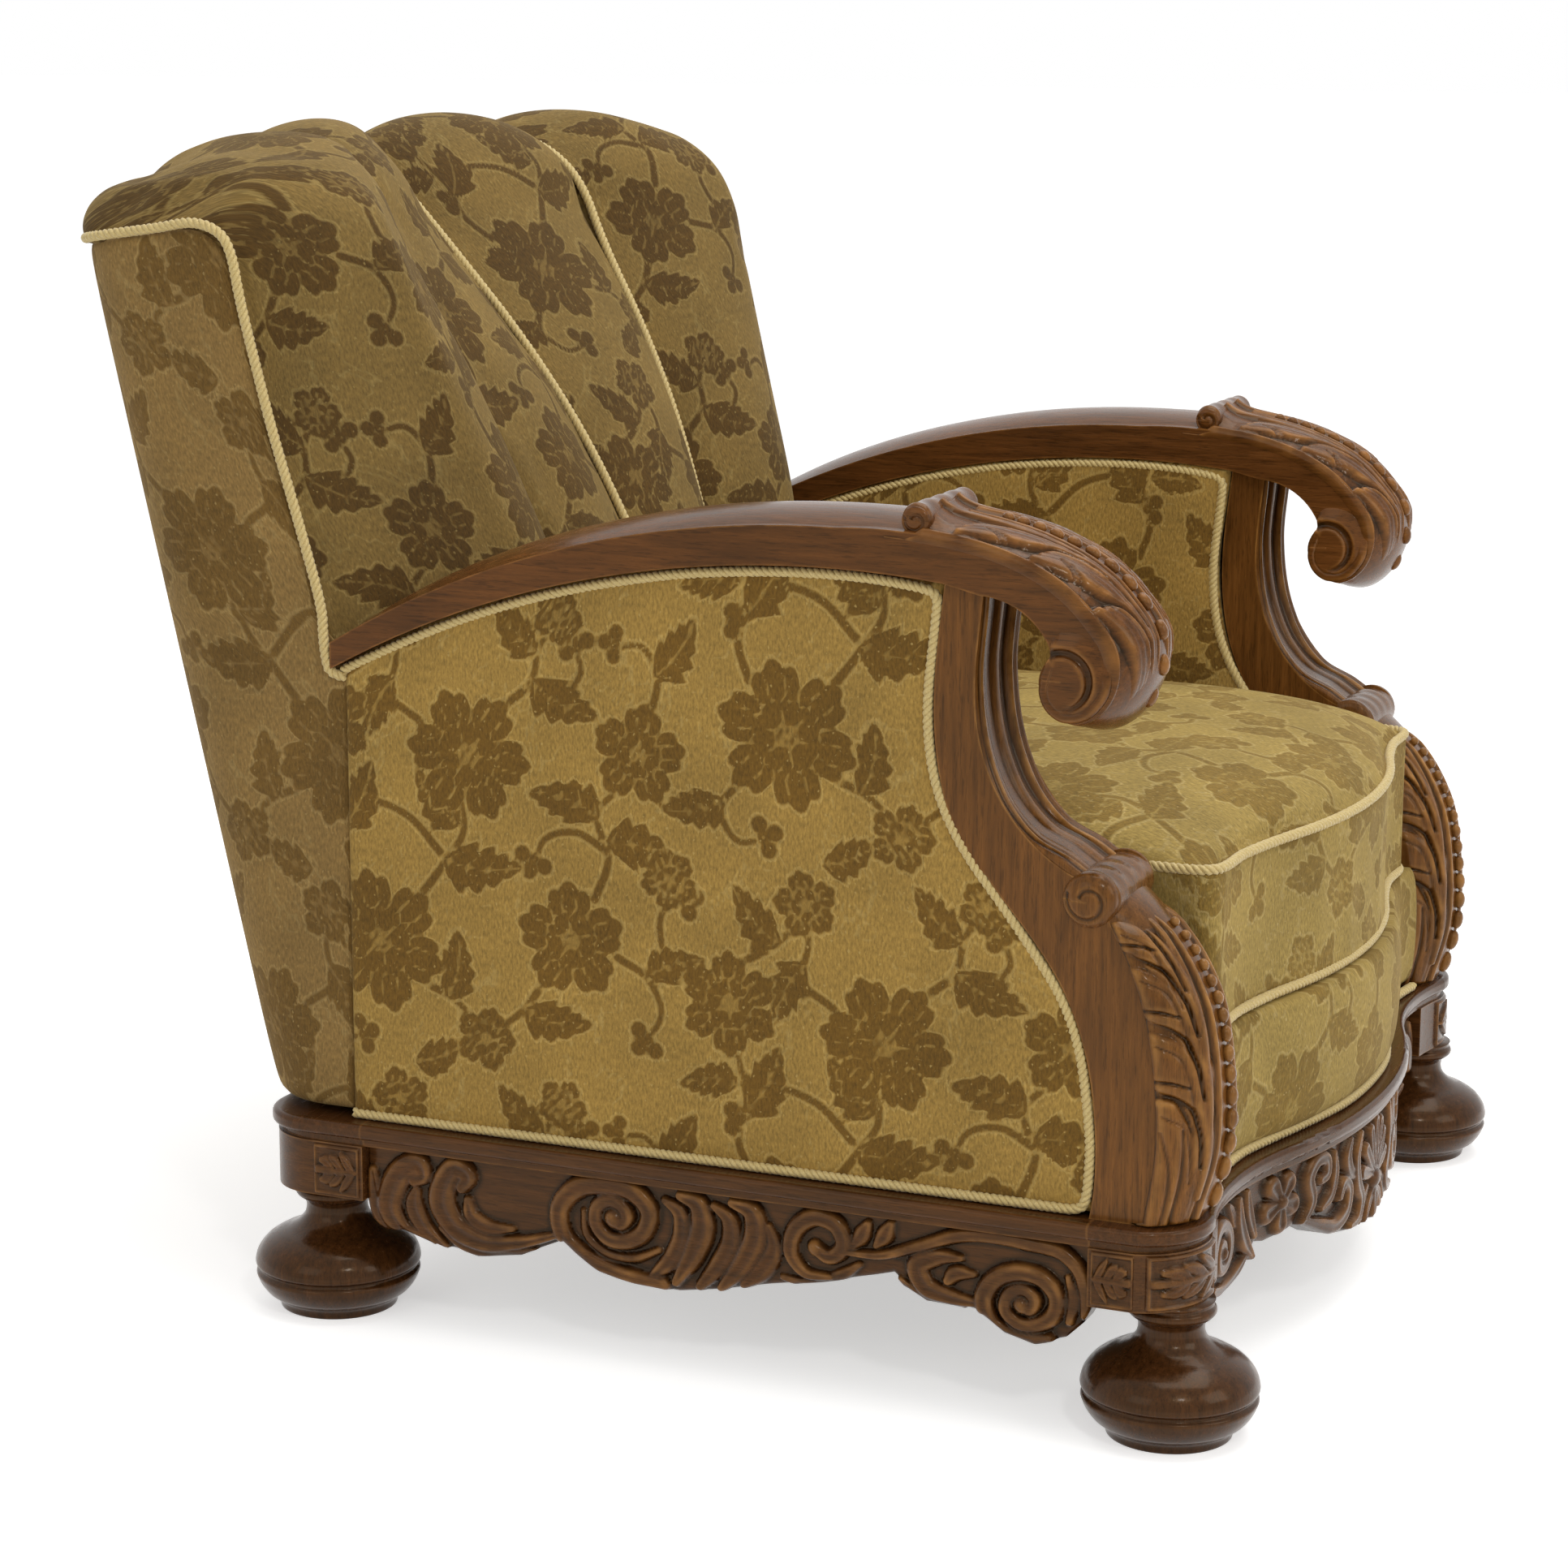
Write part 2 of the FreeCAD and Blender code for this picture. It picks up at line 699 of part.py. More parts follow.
def cover_top_at(y, grow):
    """Level of the outside back's top edge, which falls towards the rear."""
    front = back_front_at(back_side_top_z)
    fall = (back_side_top_z - back_rear_top_z) / (back_rear_at(back_rear_top_z) - front)
    return back_side_top_z - fall * (y - front) + grow


def cover_profile(x, grow):
    """Side view of the outside back and all that lies behind it, moved out by grow and placed at x."""
    corner = cover_corner(grow)
    r = cover_corner_radius + grow
    below = (back_front_at(corner[1] - r) - grow, corner[1] - r)
    behind = (corner[0] + r, cover_top_at(corner[0] + r, grow))
    via = (0.414 * corner[0] + 0.293 * (below[0] + behind[0]), 0.414 * corner[1] + 0.293 * (below[1] + behind[1]))
    far = back_rear_at(back_top_z) + back_depth
    return outline(
        side_point(x), (back_front_at(base_top_z) - grow, base_top_z),
        below, (via, behind),
        (far, cover_top_at(far, grow)), (far, base_top_z))


def cap_seat():
    """Space of the outside back's cover with its piping, and beyond, where the caps of the channels stop."""
    t = cover_thickness + piping_gap
    x = back_half_width - t
    r = back_corner_radius - t
    low = back_rear_top_z - back_corner_radius
    high = back_top_z - low
    front, rear = back_front_at(low) - back_depth, back_rear_at(low) - t
    core = outline(
        plan_point(low), (-x, front),
        (-x, rear - r), ((-x + 0.293 * r, rear - 0.293 * r), (-x + r, rear)),
        (0, rear), (0, front))
    beyond = slab(cover_profile(-2 * back_half_width, seam_width + piping_gap), V(2 * back_half_width, 0, 0))
    return beyond.cut(slab(core, V(0, back_lean * high, high)))


def under_arm_region():
    """Space taken by the arm and its frame, which the wing of the back rests on."""
    rear, rear_via, top = arm_curves()[:3]
    rise = 1.2 * arm_crown + piping_gap
    far = back_rear_at(back_top_z)
    wire = outline(
        side_point(-2 * back_half_width), (rear[0] + 60, deck_top_z - 50),
        (rear[0] + 60, rear[1] + rise), (rear[0], rear[1] + rise),
        ((rear_via[0], rear_via[1] + rise), (top[0], top[1] + rise)),
        (top[0], deck_top_z - 50))
    front = slab(wire, V(2 * back_half_width - seat_half_width - piping_gap, 0, 0))
    behind = box(-2 * back_half_width, -seat_half_width - piping_gap, rear[0], far,
                 deck_top_z - 50, rear[1] + rise)
    return front.fuse(behind)


def add_outside_back():
    z = base_top_z
    x = back_half_width
    t = cover_thickness
    r = back_corner_radius
    front, rear = back_front_at(z) - t, back_rear_at(z)
    k = 0.293
    shell = outline(
        plan_point(z), (-x, front),
        (-x, rear - r), ((-x + k * r, rear - k * r), (-x + r, rear)),
        (x - r, rear), ((x - k * r, rear - k * r), (x, rear - r)),
        (x, front), (x - t, front),
        (x - t, rear - r), ((x - t - k * (r - t), rear - t - k * (r - t)), (x - r, rear - t)),
        (-x + r, rear - t), ((-x + t + k * (r - t), rear - t - k * (r - t)), (-x + t, rear - r)),
        (-x + t, front))
    rise = back_side_top_z + 40 - z
    cover = slab(shell, V(0, back_lean * rise, rise))
    seam = box(-2 * x, 2 * x, 0, back_seam_y + piping_gap, z - 1, arm_underside()[2][1])
    arm_end = box(-2 * x, 2 * x, 0, arm_rear_y, z - 1, arm_curves()[0][1] + arm_crown + piping_gap)
    add("outside_back", cover.common(slab(cover_profile(-2 * x, 0), V(4 * x, 0, 0))).cut(seam).cut(arm_end))


def add_back_piping():
    grow = seam_width / 2
    reach = back_half_width - cord_set_in
    low_z = arm_curves()[0][1] + arm_crown + 2 * piping_radius
    corner = cover_corner(grow)
    bend = (cover_corner_radius + grow) / bend_share
    r = back_corner_radius
    rear = back_rear_at(back_rear_top_z) - cord_set_in
    turn = (reach - 0.293 * r, rear - 0.293 * r)
    line = [(reach, back_front_at(z) - grow, z) for z in (low_z, corner[1] - bend, corner[1])]
    ends = [(reach, corner[0] + bend), (reach, rear - r), turn, (reach - r, rear)]
    line += [(x, y, cover_top_at(y, grow)) for x, y in ends]
    right = [V(-x, y, z) for x, y, z in line]
    left = [V(x, y, z) for x, y, z in reversed(line)]
    add("back_edge_piping", tube(right + left, piping_radius))

    lift = piping_radius - 1.0
    rise = back_top_z - valley_low_z
    levels = [valley_low_z + share * rise for share in (0.0, 0.22, 0.42, 0.6, 0.76, 0.88, 0.97)]
    side = [V(-side_valley_x_at(z), side_valley_at(z) - lift, z) for z in levels]
    side_rope = sew_cord_pair(side, ["inner_channel", "outer_channel"])
    centre = [V(0, centre_valley_at(z) - lift, z) for z in levels]
    centre_rope = sew_cord(centre, ["right_inner_channel", "left_inner_channel"])
    add("channel_piping", Part.makeCompound([centre_rope, side_rope, mirrored(side_rope)]))


def cushion_outline(share, z):
    """Seat plan, scaled about its middle: serpentine front, sides that fit between the arm covers."""
    x = seat_half_width
    front = -(corner_front_y - seat_front_inset)
    rear = seat_rear_y
    r = cushion_corner_radius
    k = 0.293 * r
    join_y = -(bow_join_y - seat_front_inset)
    middle = (front + rear) / 2

    def place(p):
        return V(p[0] * share, middle + (p[1] - middle) * share, z)

    return outline(
        place, (-x, rear - r),
        (-x, front + r),
        ((-x + k, front + k), (-x + r, front)),
        ((-cushion_hollow_x, front + 1), (-bow_join_x, join_y)),
        ((0.0, -(bow_front_y - seat_front_inset)), (bow_join_x, join_y)),
        ((cushion_hollow_x, front + 1), (x - r, front)),
        ((x - k, front + k), (x, front + r)),
        (x, rear - r),
        ((x - k, rear - k), (x - r, rear)),
        (-x + r, rear),
        ((-x + k, rear - k), (-x, rear - r)))


def add_seat():
    bottom = deck_top_z + piping_gap
    edge = cushion_edge_z
    drawn_in = 1.0 - cushion_drawn_in / seat_half_width
    side = [(bottom, drawn_in), ((bottom + edge) / 2, 1.0), (edge, drawn_in)]
    border = Part.makeLoft([cushion_outline(share, z) for z, share in side], True, False)
    crown = [(0.0, drawn_in), (0.42, 0.94), (0.78, 0.78), (0.95, 0.5), (1.0, 0.25)]
    dome = Part.makeLoft([cushion_outline(share, edge + rise * cushion_crown) for rise, share in crown],
                         True, False)
    add("seat_cushion", border.fuse(dome).removeSplitter())
    for name, z in (("cushion_top_piping", edge), ("cushion_bottom_piping", bottom + piping_radius)):
        add(name, sew_cord(cushion_cord(z), ["seat_cushion"]))

    far = 2 * ledge_half_width
    low = base_top_z + seam_width
    levels = [(low, border_swell), ((low + deck_top_z) / 2, 0.0), (deck_top_z, border_swell)]
    front = Part.makeLoft([base_outline(border_inset + inset, z) for z, inset in levels], True, False)
    rear_y = -(hollow_front_y - border_inset - border_depth)
    add("seat_border", front.common(
        box(-border_half_width, border_half_width, -far, rear_y, low, deck_top_z)))
    add("border_piping", sew_cord(border_cord(), ["seat_border"]))

    under = deck_top_z - deck_thickness
    deck_rear_y = back_front_at(under - webbing_thickness) + padding_depth
    add("seat_deck", box(-border_half_width, border_half_width, rear_y, deck_rear_y, under, deck_top_z))
    add("seat_hessian", box(-border_half_width, border_half_width, rear_y, deck_rear_y,
                            under - webbing_thickness, under))


def cushion_cord(z):
    """Points round the cushion's edge, from the rear of one side along the front to the other."""
    edge = cushion_outline(1.0 - (cushion_drawn_in - 1.5) / seat_half_width, z)
    points = [edge.Edges[0].valueAt(edge.Edges[0].FirstParameter)]
    for run, steps in zip(edge.Edges, (1, 2, 3, 6, 3, 2, 1)):
        points += run.discretize(steps + 1)[1:]
    return points


def border_cord():
    z = base_top_z + seam_width / 2
    out = border_inset + 2.0
    half = [(border_half_width - 2, -(corner_front_y - out - 2)), (hollow_x, -(hollow_front_y - out)),
            (bow_join_x + 20, -(bow_join_y - out) + 9), (bow_join_x - 55, -(bow_join_y - out) - 12),
            (45.0, -(bow_front_y - out) + 2)]
    right = [V(-a, b, z) for a, b in half]
    left = [V(a, b, z) for a, b in reversed(half)]
    return right + left


def add_frame():
    z0, z1 = rail_bottom_z, rail_bottom_z + rail_height
    rail_x = ledge_half_width - apron_inset - apron_thickness
    inner_x = rail_x - rail_thickness
    add_pair("seat_rail", box(-rail_x, -inner_x, block_front_end_y, block_rear_end_y, z0, ledge_bottom_z))
    front = -(hollow_front_y - apron_inset - apron_thickness) + 2
    rear = ledge_rear_y - apron_inset - apron_thickness
    add("front_seat_rail", box(-block_inner_x, block_inner_x, front, front + rail_thickness, z0, ledge_bottom_z))
    add("rear_seat_rail", box(-block_inner_x, block_inner_x, rear - rail_thickness, rear, z0, ledge_bottom_z))

    braces = []
    for y, sign in ((block_front_end_y, 1), (block_rear_end_y, -1)):
        leg = 60.0
        edge = outline(plan_point(z0 + 4), (-inner_x, y), (-inner_x, y + sign * leg), (-inner_x + leg, y))
        brace = slab(edge, V(0, 0, ledge_bottom_z - z0 - 8))
        brace = brace.cut(box(-block_inner_x, 0, front, front + rail_thickness, z0, z1))
        brace = brace.cut(box(-block_inner_x, 0, rear - rail_thickness, rear, z0, z1))
        braces += [brace, mirrored(brace)]
    add("corner_braces", Part.makeCompound(braces))

    near, far = padding_depth + 2.0, back_depth - cover_thickness

    def raked(x0, x1, low, high):
        y0, y1 = back_front_at(low) + near, back_front_at(low) + far
        foot = outline(plan_point(low), (x0, y0), (x1, y0), (x1, y1), (x0, y1))
        return slab(foot, V(0, back_lean * (high - low), high - low))

    outer = back_half_width - back_corner_radius
    inner = outer - upright_width
    add_pair("back_upright", raked(-outer, -inner, base_top_z, back_rear_top_z))
    add("back_top_rail", raked(-inner, inner, back_rear_top_z - 45, back_rear_top_z))
    add("back_waist_rail", raked(-inner, inner, valley_low_z, valley_low_z + 40))
    add("back_foot_rail", raked(-inner, inner, deck_top_z + 4, deck_top_z + 44))
    strips = []
    for x in (-210.0, -105.0, 0.0, 105.0, 210.0):
        low, high = deck_top_z + 6, back_rear_top_z - 5
        y = back_front_at(low) + padding_depth
        foot = outline(plan_point(low), (x - webbing_width / 2, y), (x + webbing_width / 2, y),
                       (x + webbing_width / 2, y + 2), (x - webbing_width / 2, y + 2))
        strips.append(slab(foot, V(0, back_lean * (high - low), high - low)))
    add("back_webbing", Part.makeCompound(strips))

    stay_inner = inside_arm_face_x + inside_arm_thickness
    stay_outer = back_half_width - 1.5 * cover_thickness
    stay_front = edge_y_at(post_rear_edge(), deck_top_z + 45)
    add_pair("arm_stay_rail", box(-stay_outer, -stay_inner, stay_front, back_front_at(deck_top_z) + near,
                                  deck_top_z + 6, deck_top_z + 40))


def add_springing():
    rail_x = ledge_half_width - apron_inset - apron_thickness
    front = -(hollow_front_y - apron_inset - apron_thickness) + 2
    rear = ledge_rear_y - apron_inset - apron_thickness
    t = webbing_thickness
    top = rail_bottom_z
    half = webbing_width / 2
    strips = []
    for y in (-190.0, -85.0, 20.0, 125.0, 230.0):
        strips.append(box(-rail_x + 2, rail_x - 2, y - half, y + half, top - t, top))
    for x in (-220.0, -110.0, 0.0, 110.0, 220.0):
        strips.append(box(x - half, x + half, front + 2, rear - 2, top - 2 * t, top - t))
    add("seat_webbing", Part.makeCompound(strips))
    low = top - 2 * t
    add("dust_cover", box(-rail_x + 6, rail_x - 6, block_front_end_y, block_rear_end_y, low - t, low))
    coils = []
    bottom = top + spring_wire
    height = deck_top_z - deck_thickness - webbing_thickness - bottom - spring_wire
    for x in (-150.0, 0.0, 150.0):
        for y in (-130.0, 90.0):
            coils.append(coil(V(x, y, bottom), height))
    add("seat_springs", Part.makeCompound(coils))


def coil(foot, height):
    """Hourglass spring: a wire wound on a radius that narrows at mid height."""
    steps = spring_turns * spring_steps
    sections = []
    for i in range(steps + 1):
        share = i / steps
        angle = 2 * math.pi * i / spring_steps
        r = spring_waist + (spring_radius - spring_waist) * abs(2 * share - 1)
        out = V(math.cos(angle), math.sin(angle), 0)
        centre = foot + out * r + V(0, 0, height * share)
        corners = []
        for j in range(wire_sides):
            turn = 2 * math.pi * j / wire_sides
            corners.append(centre + out * (spring_wire * math.cos(turn)) + V(0, 0, spring_wire * math.sin(turn)))
        sections.append(Part.makePolygon(corners + corners[:1]))
    return Part.makeLoft(sections, True, True)


def write_nodes():
    """Every piece is moved so that the origin is on the floor, in the middle of the chair's box."""
    whole = Part.makeCompound(list(nodes.values())).optimalBoundingBox(False, False)
    shift = V(-(whole.XMin + whole.XMax) / 2, -(whole.YMin + whole.YMax) / 2, 0)
    print("shift of the origin:", shift)
    for name, shape in nodes.items():
        moved = shape.copy()
        moved.translate(shift)
        moved.exportStep("parts/%s.step" % name)


os.makedirs("parts", exist_ok=True)
add_feet()
add_blocks()
add_aprons()
add_ledges()
add_arms()
add_arm_covers()
add_outside_back()
add_channels()
add_back_piping()
add_seat()
add_frame()
add_springing()
write_nodes()
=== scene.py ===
# %% [markdown]
# # A carved oak armchair with a loose seat cushion
# The chair stands as a packed set of solids: frame, feet, covers, cords and cushion.
# This lesson dresses those solids. Soft covers are swollen from flat panels, cords are laid in
# three strands, and the oak gets its carving as height fields, which is how a carver thinks of it:
# a flat board first, then how far each leaf stands above it.

# %% Load the frame
import json
import math

import bpy
import numpy as np
from mathutils import Matrix, Vector


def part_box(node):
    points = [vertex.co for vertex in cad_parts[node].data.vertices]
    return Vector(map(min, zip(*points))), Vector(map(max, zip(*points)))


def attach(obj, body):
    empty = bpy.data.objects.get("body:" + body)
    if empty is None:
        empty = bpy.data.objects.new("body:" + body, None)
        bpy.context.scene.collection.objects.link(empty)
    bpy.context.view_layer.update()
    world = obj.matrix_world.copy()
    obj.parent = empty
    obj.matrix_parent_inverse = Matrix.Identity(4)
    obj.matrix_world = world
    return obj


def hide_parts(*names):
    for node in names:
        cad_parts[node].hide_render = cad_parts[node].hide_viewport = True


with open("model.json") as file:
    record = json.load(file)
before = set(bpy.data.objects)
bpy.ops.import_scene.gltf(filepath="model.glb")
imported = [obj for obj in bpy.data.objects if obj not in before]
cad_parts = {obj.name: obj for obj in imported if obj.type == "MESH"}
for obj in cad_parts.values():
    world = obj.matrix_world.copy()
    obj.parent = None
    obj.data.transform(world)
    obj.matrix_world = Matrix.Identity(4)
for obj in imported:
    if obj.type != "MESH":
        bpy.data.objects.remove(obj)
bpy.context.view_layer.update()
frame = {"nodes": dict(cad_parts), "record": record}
scene = bpy.context.scene

# %% [markdown]
# The chair was drawn in millimetres with Y = 0 midway between its feet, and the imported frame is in
# metres with another Y. The feet say how far apart the two are, so every size below can be written
# in drawing millimetres and turned into frame metres by one function. Right and left are the sitter's,
# and each goes with the sign of its X.

# %% Drawing millimetres to frame metres
feet = [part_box("right_front_foot"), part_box("right_rear_foot")]
feet_middle_y = sum(low.y + high.y for low, high in feet) / 4


def at(points):
    """Drawing millimetres to frame metres."""
    p = np.array(points, float) / 1000.0
    p[..., 1] += feet_middle_y
    return p


hands = ((-1, "right"), (1, "left"))
print("feet middle", round(feet_middle_y, 4))

# %% [markdown]
# ## The photographer's place
# The camera stands to the chair's right and a little in front of it, at about chest height, with a
# short telephoto lens. Its directions are written as three axes, which avoids juggling angles.

# %% Camera
ahead = Vector((0.9005, 0.3827, -0.2065)).normalized()
rightward = Vector((0.3911, -0.9204, 0.0)).normalized()
upward = rightward.cross(ahead)
rightward = ahead.cross(upward)
turn = Matrix((rightward, upward, -ahead)).transposed() @ Matrix.Rotation(math.radians(0.2), 3, "Z")
camera = bpy.data.objects.new("camera", bpy.data.cameras.new("camera"))
scene.collection.objects.link(camera)
camera.matrix_world = Matrix.LocRotScale(Vector((-2.479, -0.949 + feet_middle_y, 0.8965)), turn, None)
camera.data.lens = 84.16
camera.data.sensor_width = 36.0
scene.camera = camera
print("camera", [round(v, 3) for v in camera.location])

# %% [markdown]
# ## Colours and nodes
# Colours are picked as sRGB hex values, as on any colour picker, and the shader wants linear light,
# so one function turns one into the other. A second one adds a node, sets it and links it. The lining,
# the hessian, the webbing and the cord are plain threads in two tones, so they share one recipe.

# %% Helpers for materials


def colour(code):
    """An sRGB hex colour as linear RGBA."""
    parts = [int(code[i:i + 2], 16) / 255.0 for i in (1, 3, 5)]
    return tuple(c / 12.92 if c <= 0.04045 else ((c + 0.055) / 1.055) ** 2.4 for c in parts) + (1.0,)


def add(tree, kind, inputs=None, **settings):
    """Adds a node: settings are its properties, and an input is linked to a socket or set to a value."""
    node = tree.nodes.new(kind)
    for key, value in settings.items():
        setattr(node, key, value)
    for key, value in (inputs or {}).items():
        if isinstance(value, bpy.types.NodeSocket):
            tree.links.new(value, node.inputs[key])
        else:
            node.inputs[key].default_value = value
    return node


def new_material(name):
    material = bpy.data.materials.new(name)
    material.use_nodes = True
    tree = material.node_tree
    return material, tree, tree.nodes["Principled BSDF"]


def times(tree, tone, grey):
    """A mixed colour multiplied by a grey."""
    return add(tree, "ShaderNodeMix", {0: 1.0, 6: tone.outputs[2], 7: grey.outputs[0]},
               data_type="RGBA", blend_type="MULTIPLY")


def thread_cloth(name, scale, dark, light, rough, bumps=None, sheen=0.0):
    """Plain threads in two tones, with bumps as (strength, distance) where they stand out."""
    material, tree, shader = new_material(name)
    place = add(tree, "ShaderNodeTexCoord").outputs["Object"]
    threads = add(tree, "ShaderNodeTexNoise", {"Vector": place, "Scale": scale, "Detail": 2.0})
    tone = add(tree, "ShaderNodeMix", {0: threads.outputs[0], 6: colour(dark), 7: colour(light)}, data_type="RGBA")
    tree.links.new(tone.outputs[2], shader.inputs["Base Color"])
    if bumps:
        bump = add(tree, "ShaderNodeBump", {"Height": threads.outputs[0], "Strength": bumps[0], "Distance": bumps[1]})
        tree.links.new(bump.outputs[0], shader.inputs["Normal"])
    shader.inputs["Roughness"].default_value = rough
    shader.inputs["Sheen Weight"].default_value = sheen
    return material


# %% [markdown]
# ## Studio
# A pale floor takes the chair's soft shadow. The world is white where the camera or a reflection looks at it and
# dimmer as a light, so that the background stays white while colours render as written.
# Three large lamps give the round, even light of a bright room, and a small one puts highlights on polish.

# %% Floor, world and lamps
floor_material, tree, shader = new_material("matt_floor_paint")
shader.inputs["Base Color"].default_value = colour("#F6F5F3")
shader.inputs["Roughness"].default_value = 0.9
floor_mesh = bpy.data.meshes.new("floor")
reach = 40.0
floor_mesh.from_pydata([(-reach, -reach, 0), (reach, -reach, 0), (reach, reach, 0), (-reach, reach, 0)],
                       [], [(0, 1, 2, 3)])
floor_mesh.materials.append(floor_material)
floor = bpy.data.objects.new("floor", floor_mesh)
scene.collection.objects.link(floor)

path = add(tree, "ShaderNodeLightPath")
seen = add(tree, "ShaderNodeMath", {0: path.outputs["Is Camera Ray"], 1: path.outputs["Is Transmission Ray"]},
           operation="MAXIMUM")
seen = add(tree, "ShaderNodeMath", {0: seen.outputs[0], 1: path.outputs["Is Glossy Ray"]}, operation="MAXIMUM")
glow = add(tree, "ShaderNodeEmission", {"Color": (1, 1, 1, 1), "Strength": 0.52})
glow_on = add(tree, "ShaderNodeMixShader", {0: seen.outputs[0], 2: glow.outputs[0]})
both = add(tree, "ShaderNodeAddShader", {0: shader.outputs[0], 1: glow_on.outputs[0]})
tree.links.new(both.outputs[0], tree.nodes["Material Output"].inputs["Surface"])

world = bpy.data.worlds.new("studio")
scene.world = world
world.use_nodes = True
tree = world.node_tree
tree.nodes.clear()
path = add(tree, "ShaderNodeLightPath")
seen = add(tree, "ShaderNodeMath", {0: path.outputs["Is Camera Ray"], 1: path.outputs["Is Transmission Ray"]},
           operation="MAXIMUM")
seen = add(tree, "ShaderNodeMath", {0: seen.outputs[0], 1: path.outputs["Is Glossy Ray"]}, operation="MAXIMUM")
dim = add(tree, "ShaderNodeBackground", {"Color": (1, 1, 1, 1), "Strength": 0.55})
white = add(tree, "ShaderNodeBackground", {"Color": (1, 1, 1, 1), "Strength": 1.0})
mix = add(tree, "ShaderNodeMixShader", {0: seen.outputs[0], 1: dim.outputs[0], 2: white.outputs[0]})
add(tree, "ShaderNodeOutputWorld", {"Surface": mix.outputs[0]})


def lamp(name, place, target, size, power):
    data = bpy.data.lights.new(name, "AREA")
    data.size = size
    data.energy = power
    lamp_object = bpy.data.objects.new(name, data)
    scene.collection.objects.link(lamp_object)
    place, target = Vector(place), Vector(target)
    lamp_object.location = place
    lamp_object.rotation_euler = (target - place).to_track_quat("-Z", "Y").to_euler()


chair_middle = (0.0, 0.0, 0.45)
lamp("overhead_lamp", (0.3, -0.5, 3.0), chair_middle, 2.2, 44.0)
lamp("front_lamp", (-0.6, -3.2, 1.9), chair_middle, 1.6, 19.0)
lamp("window_lamp", (-2.4, -1.8, 2.5), chair_middle, 0.36, 12.0)
lamp("side_lamp", (-3.4, 1.0, 1.8), chair_middle, 1.8, 9.0)
scene.view_settings.view_transform = "Standard"

# %% [markdown]
# ## Oak, stained and polished
# The show wood is quarter-cut oak, stained brown and wax polished, and rubbed light along its edges. Its carved
# ridges are painted paler, partly as wear and partly as painted highlight, and its hollows painted darker, partly
# as old wax and partly as painted shade.
# Grain runs along each piece, so the material is made once for each direction of grain. Pores are
# about 0.3 mm wide on real oak, too fine to show here, so they are drawn at about 1 mm.

# %% Oak materials


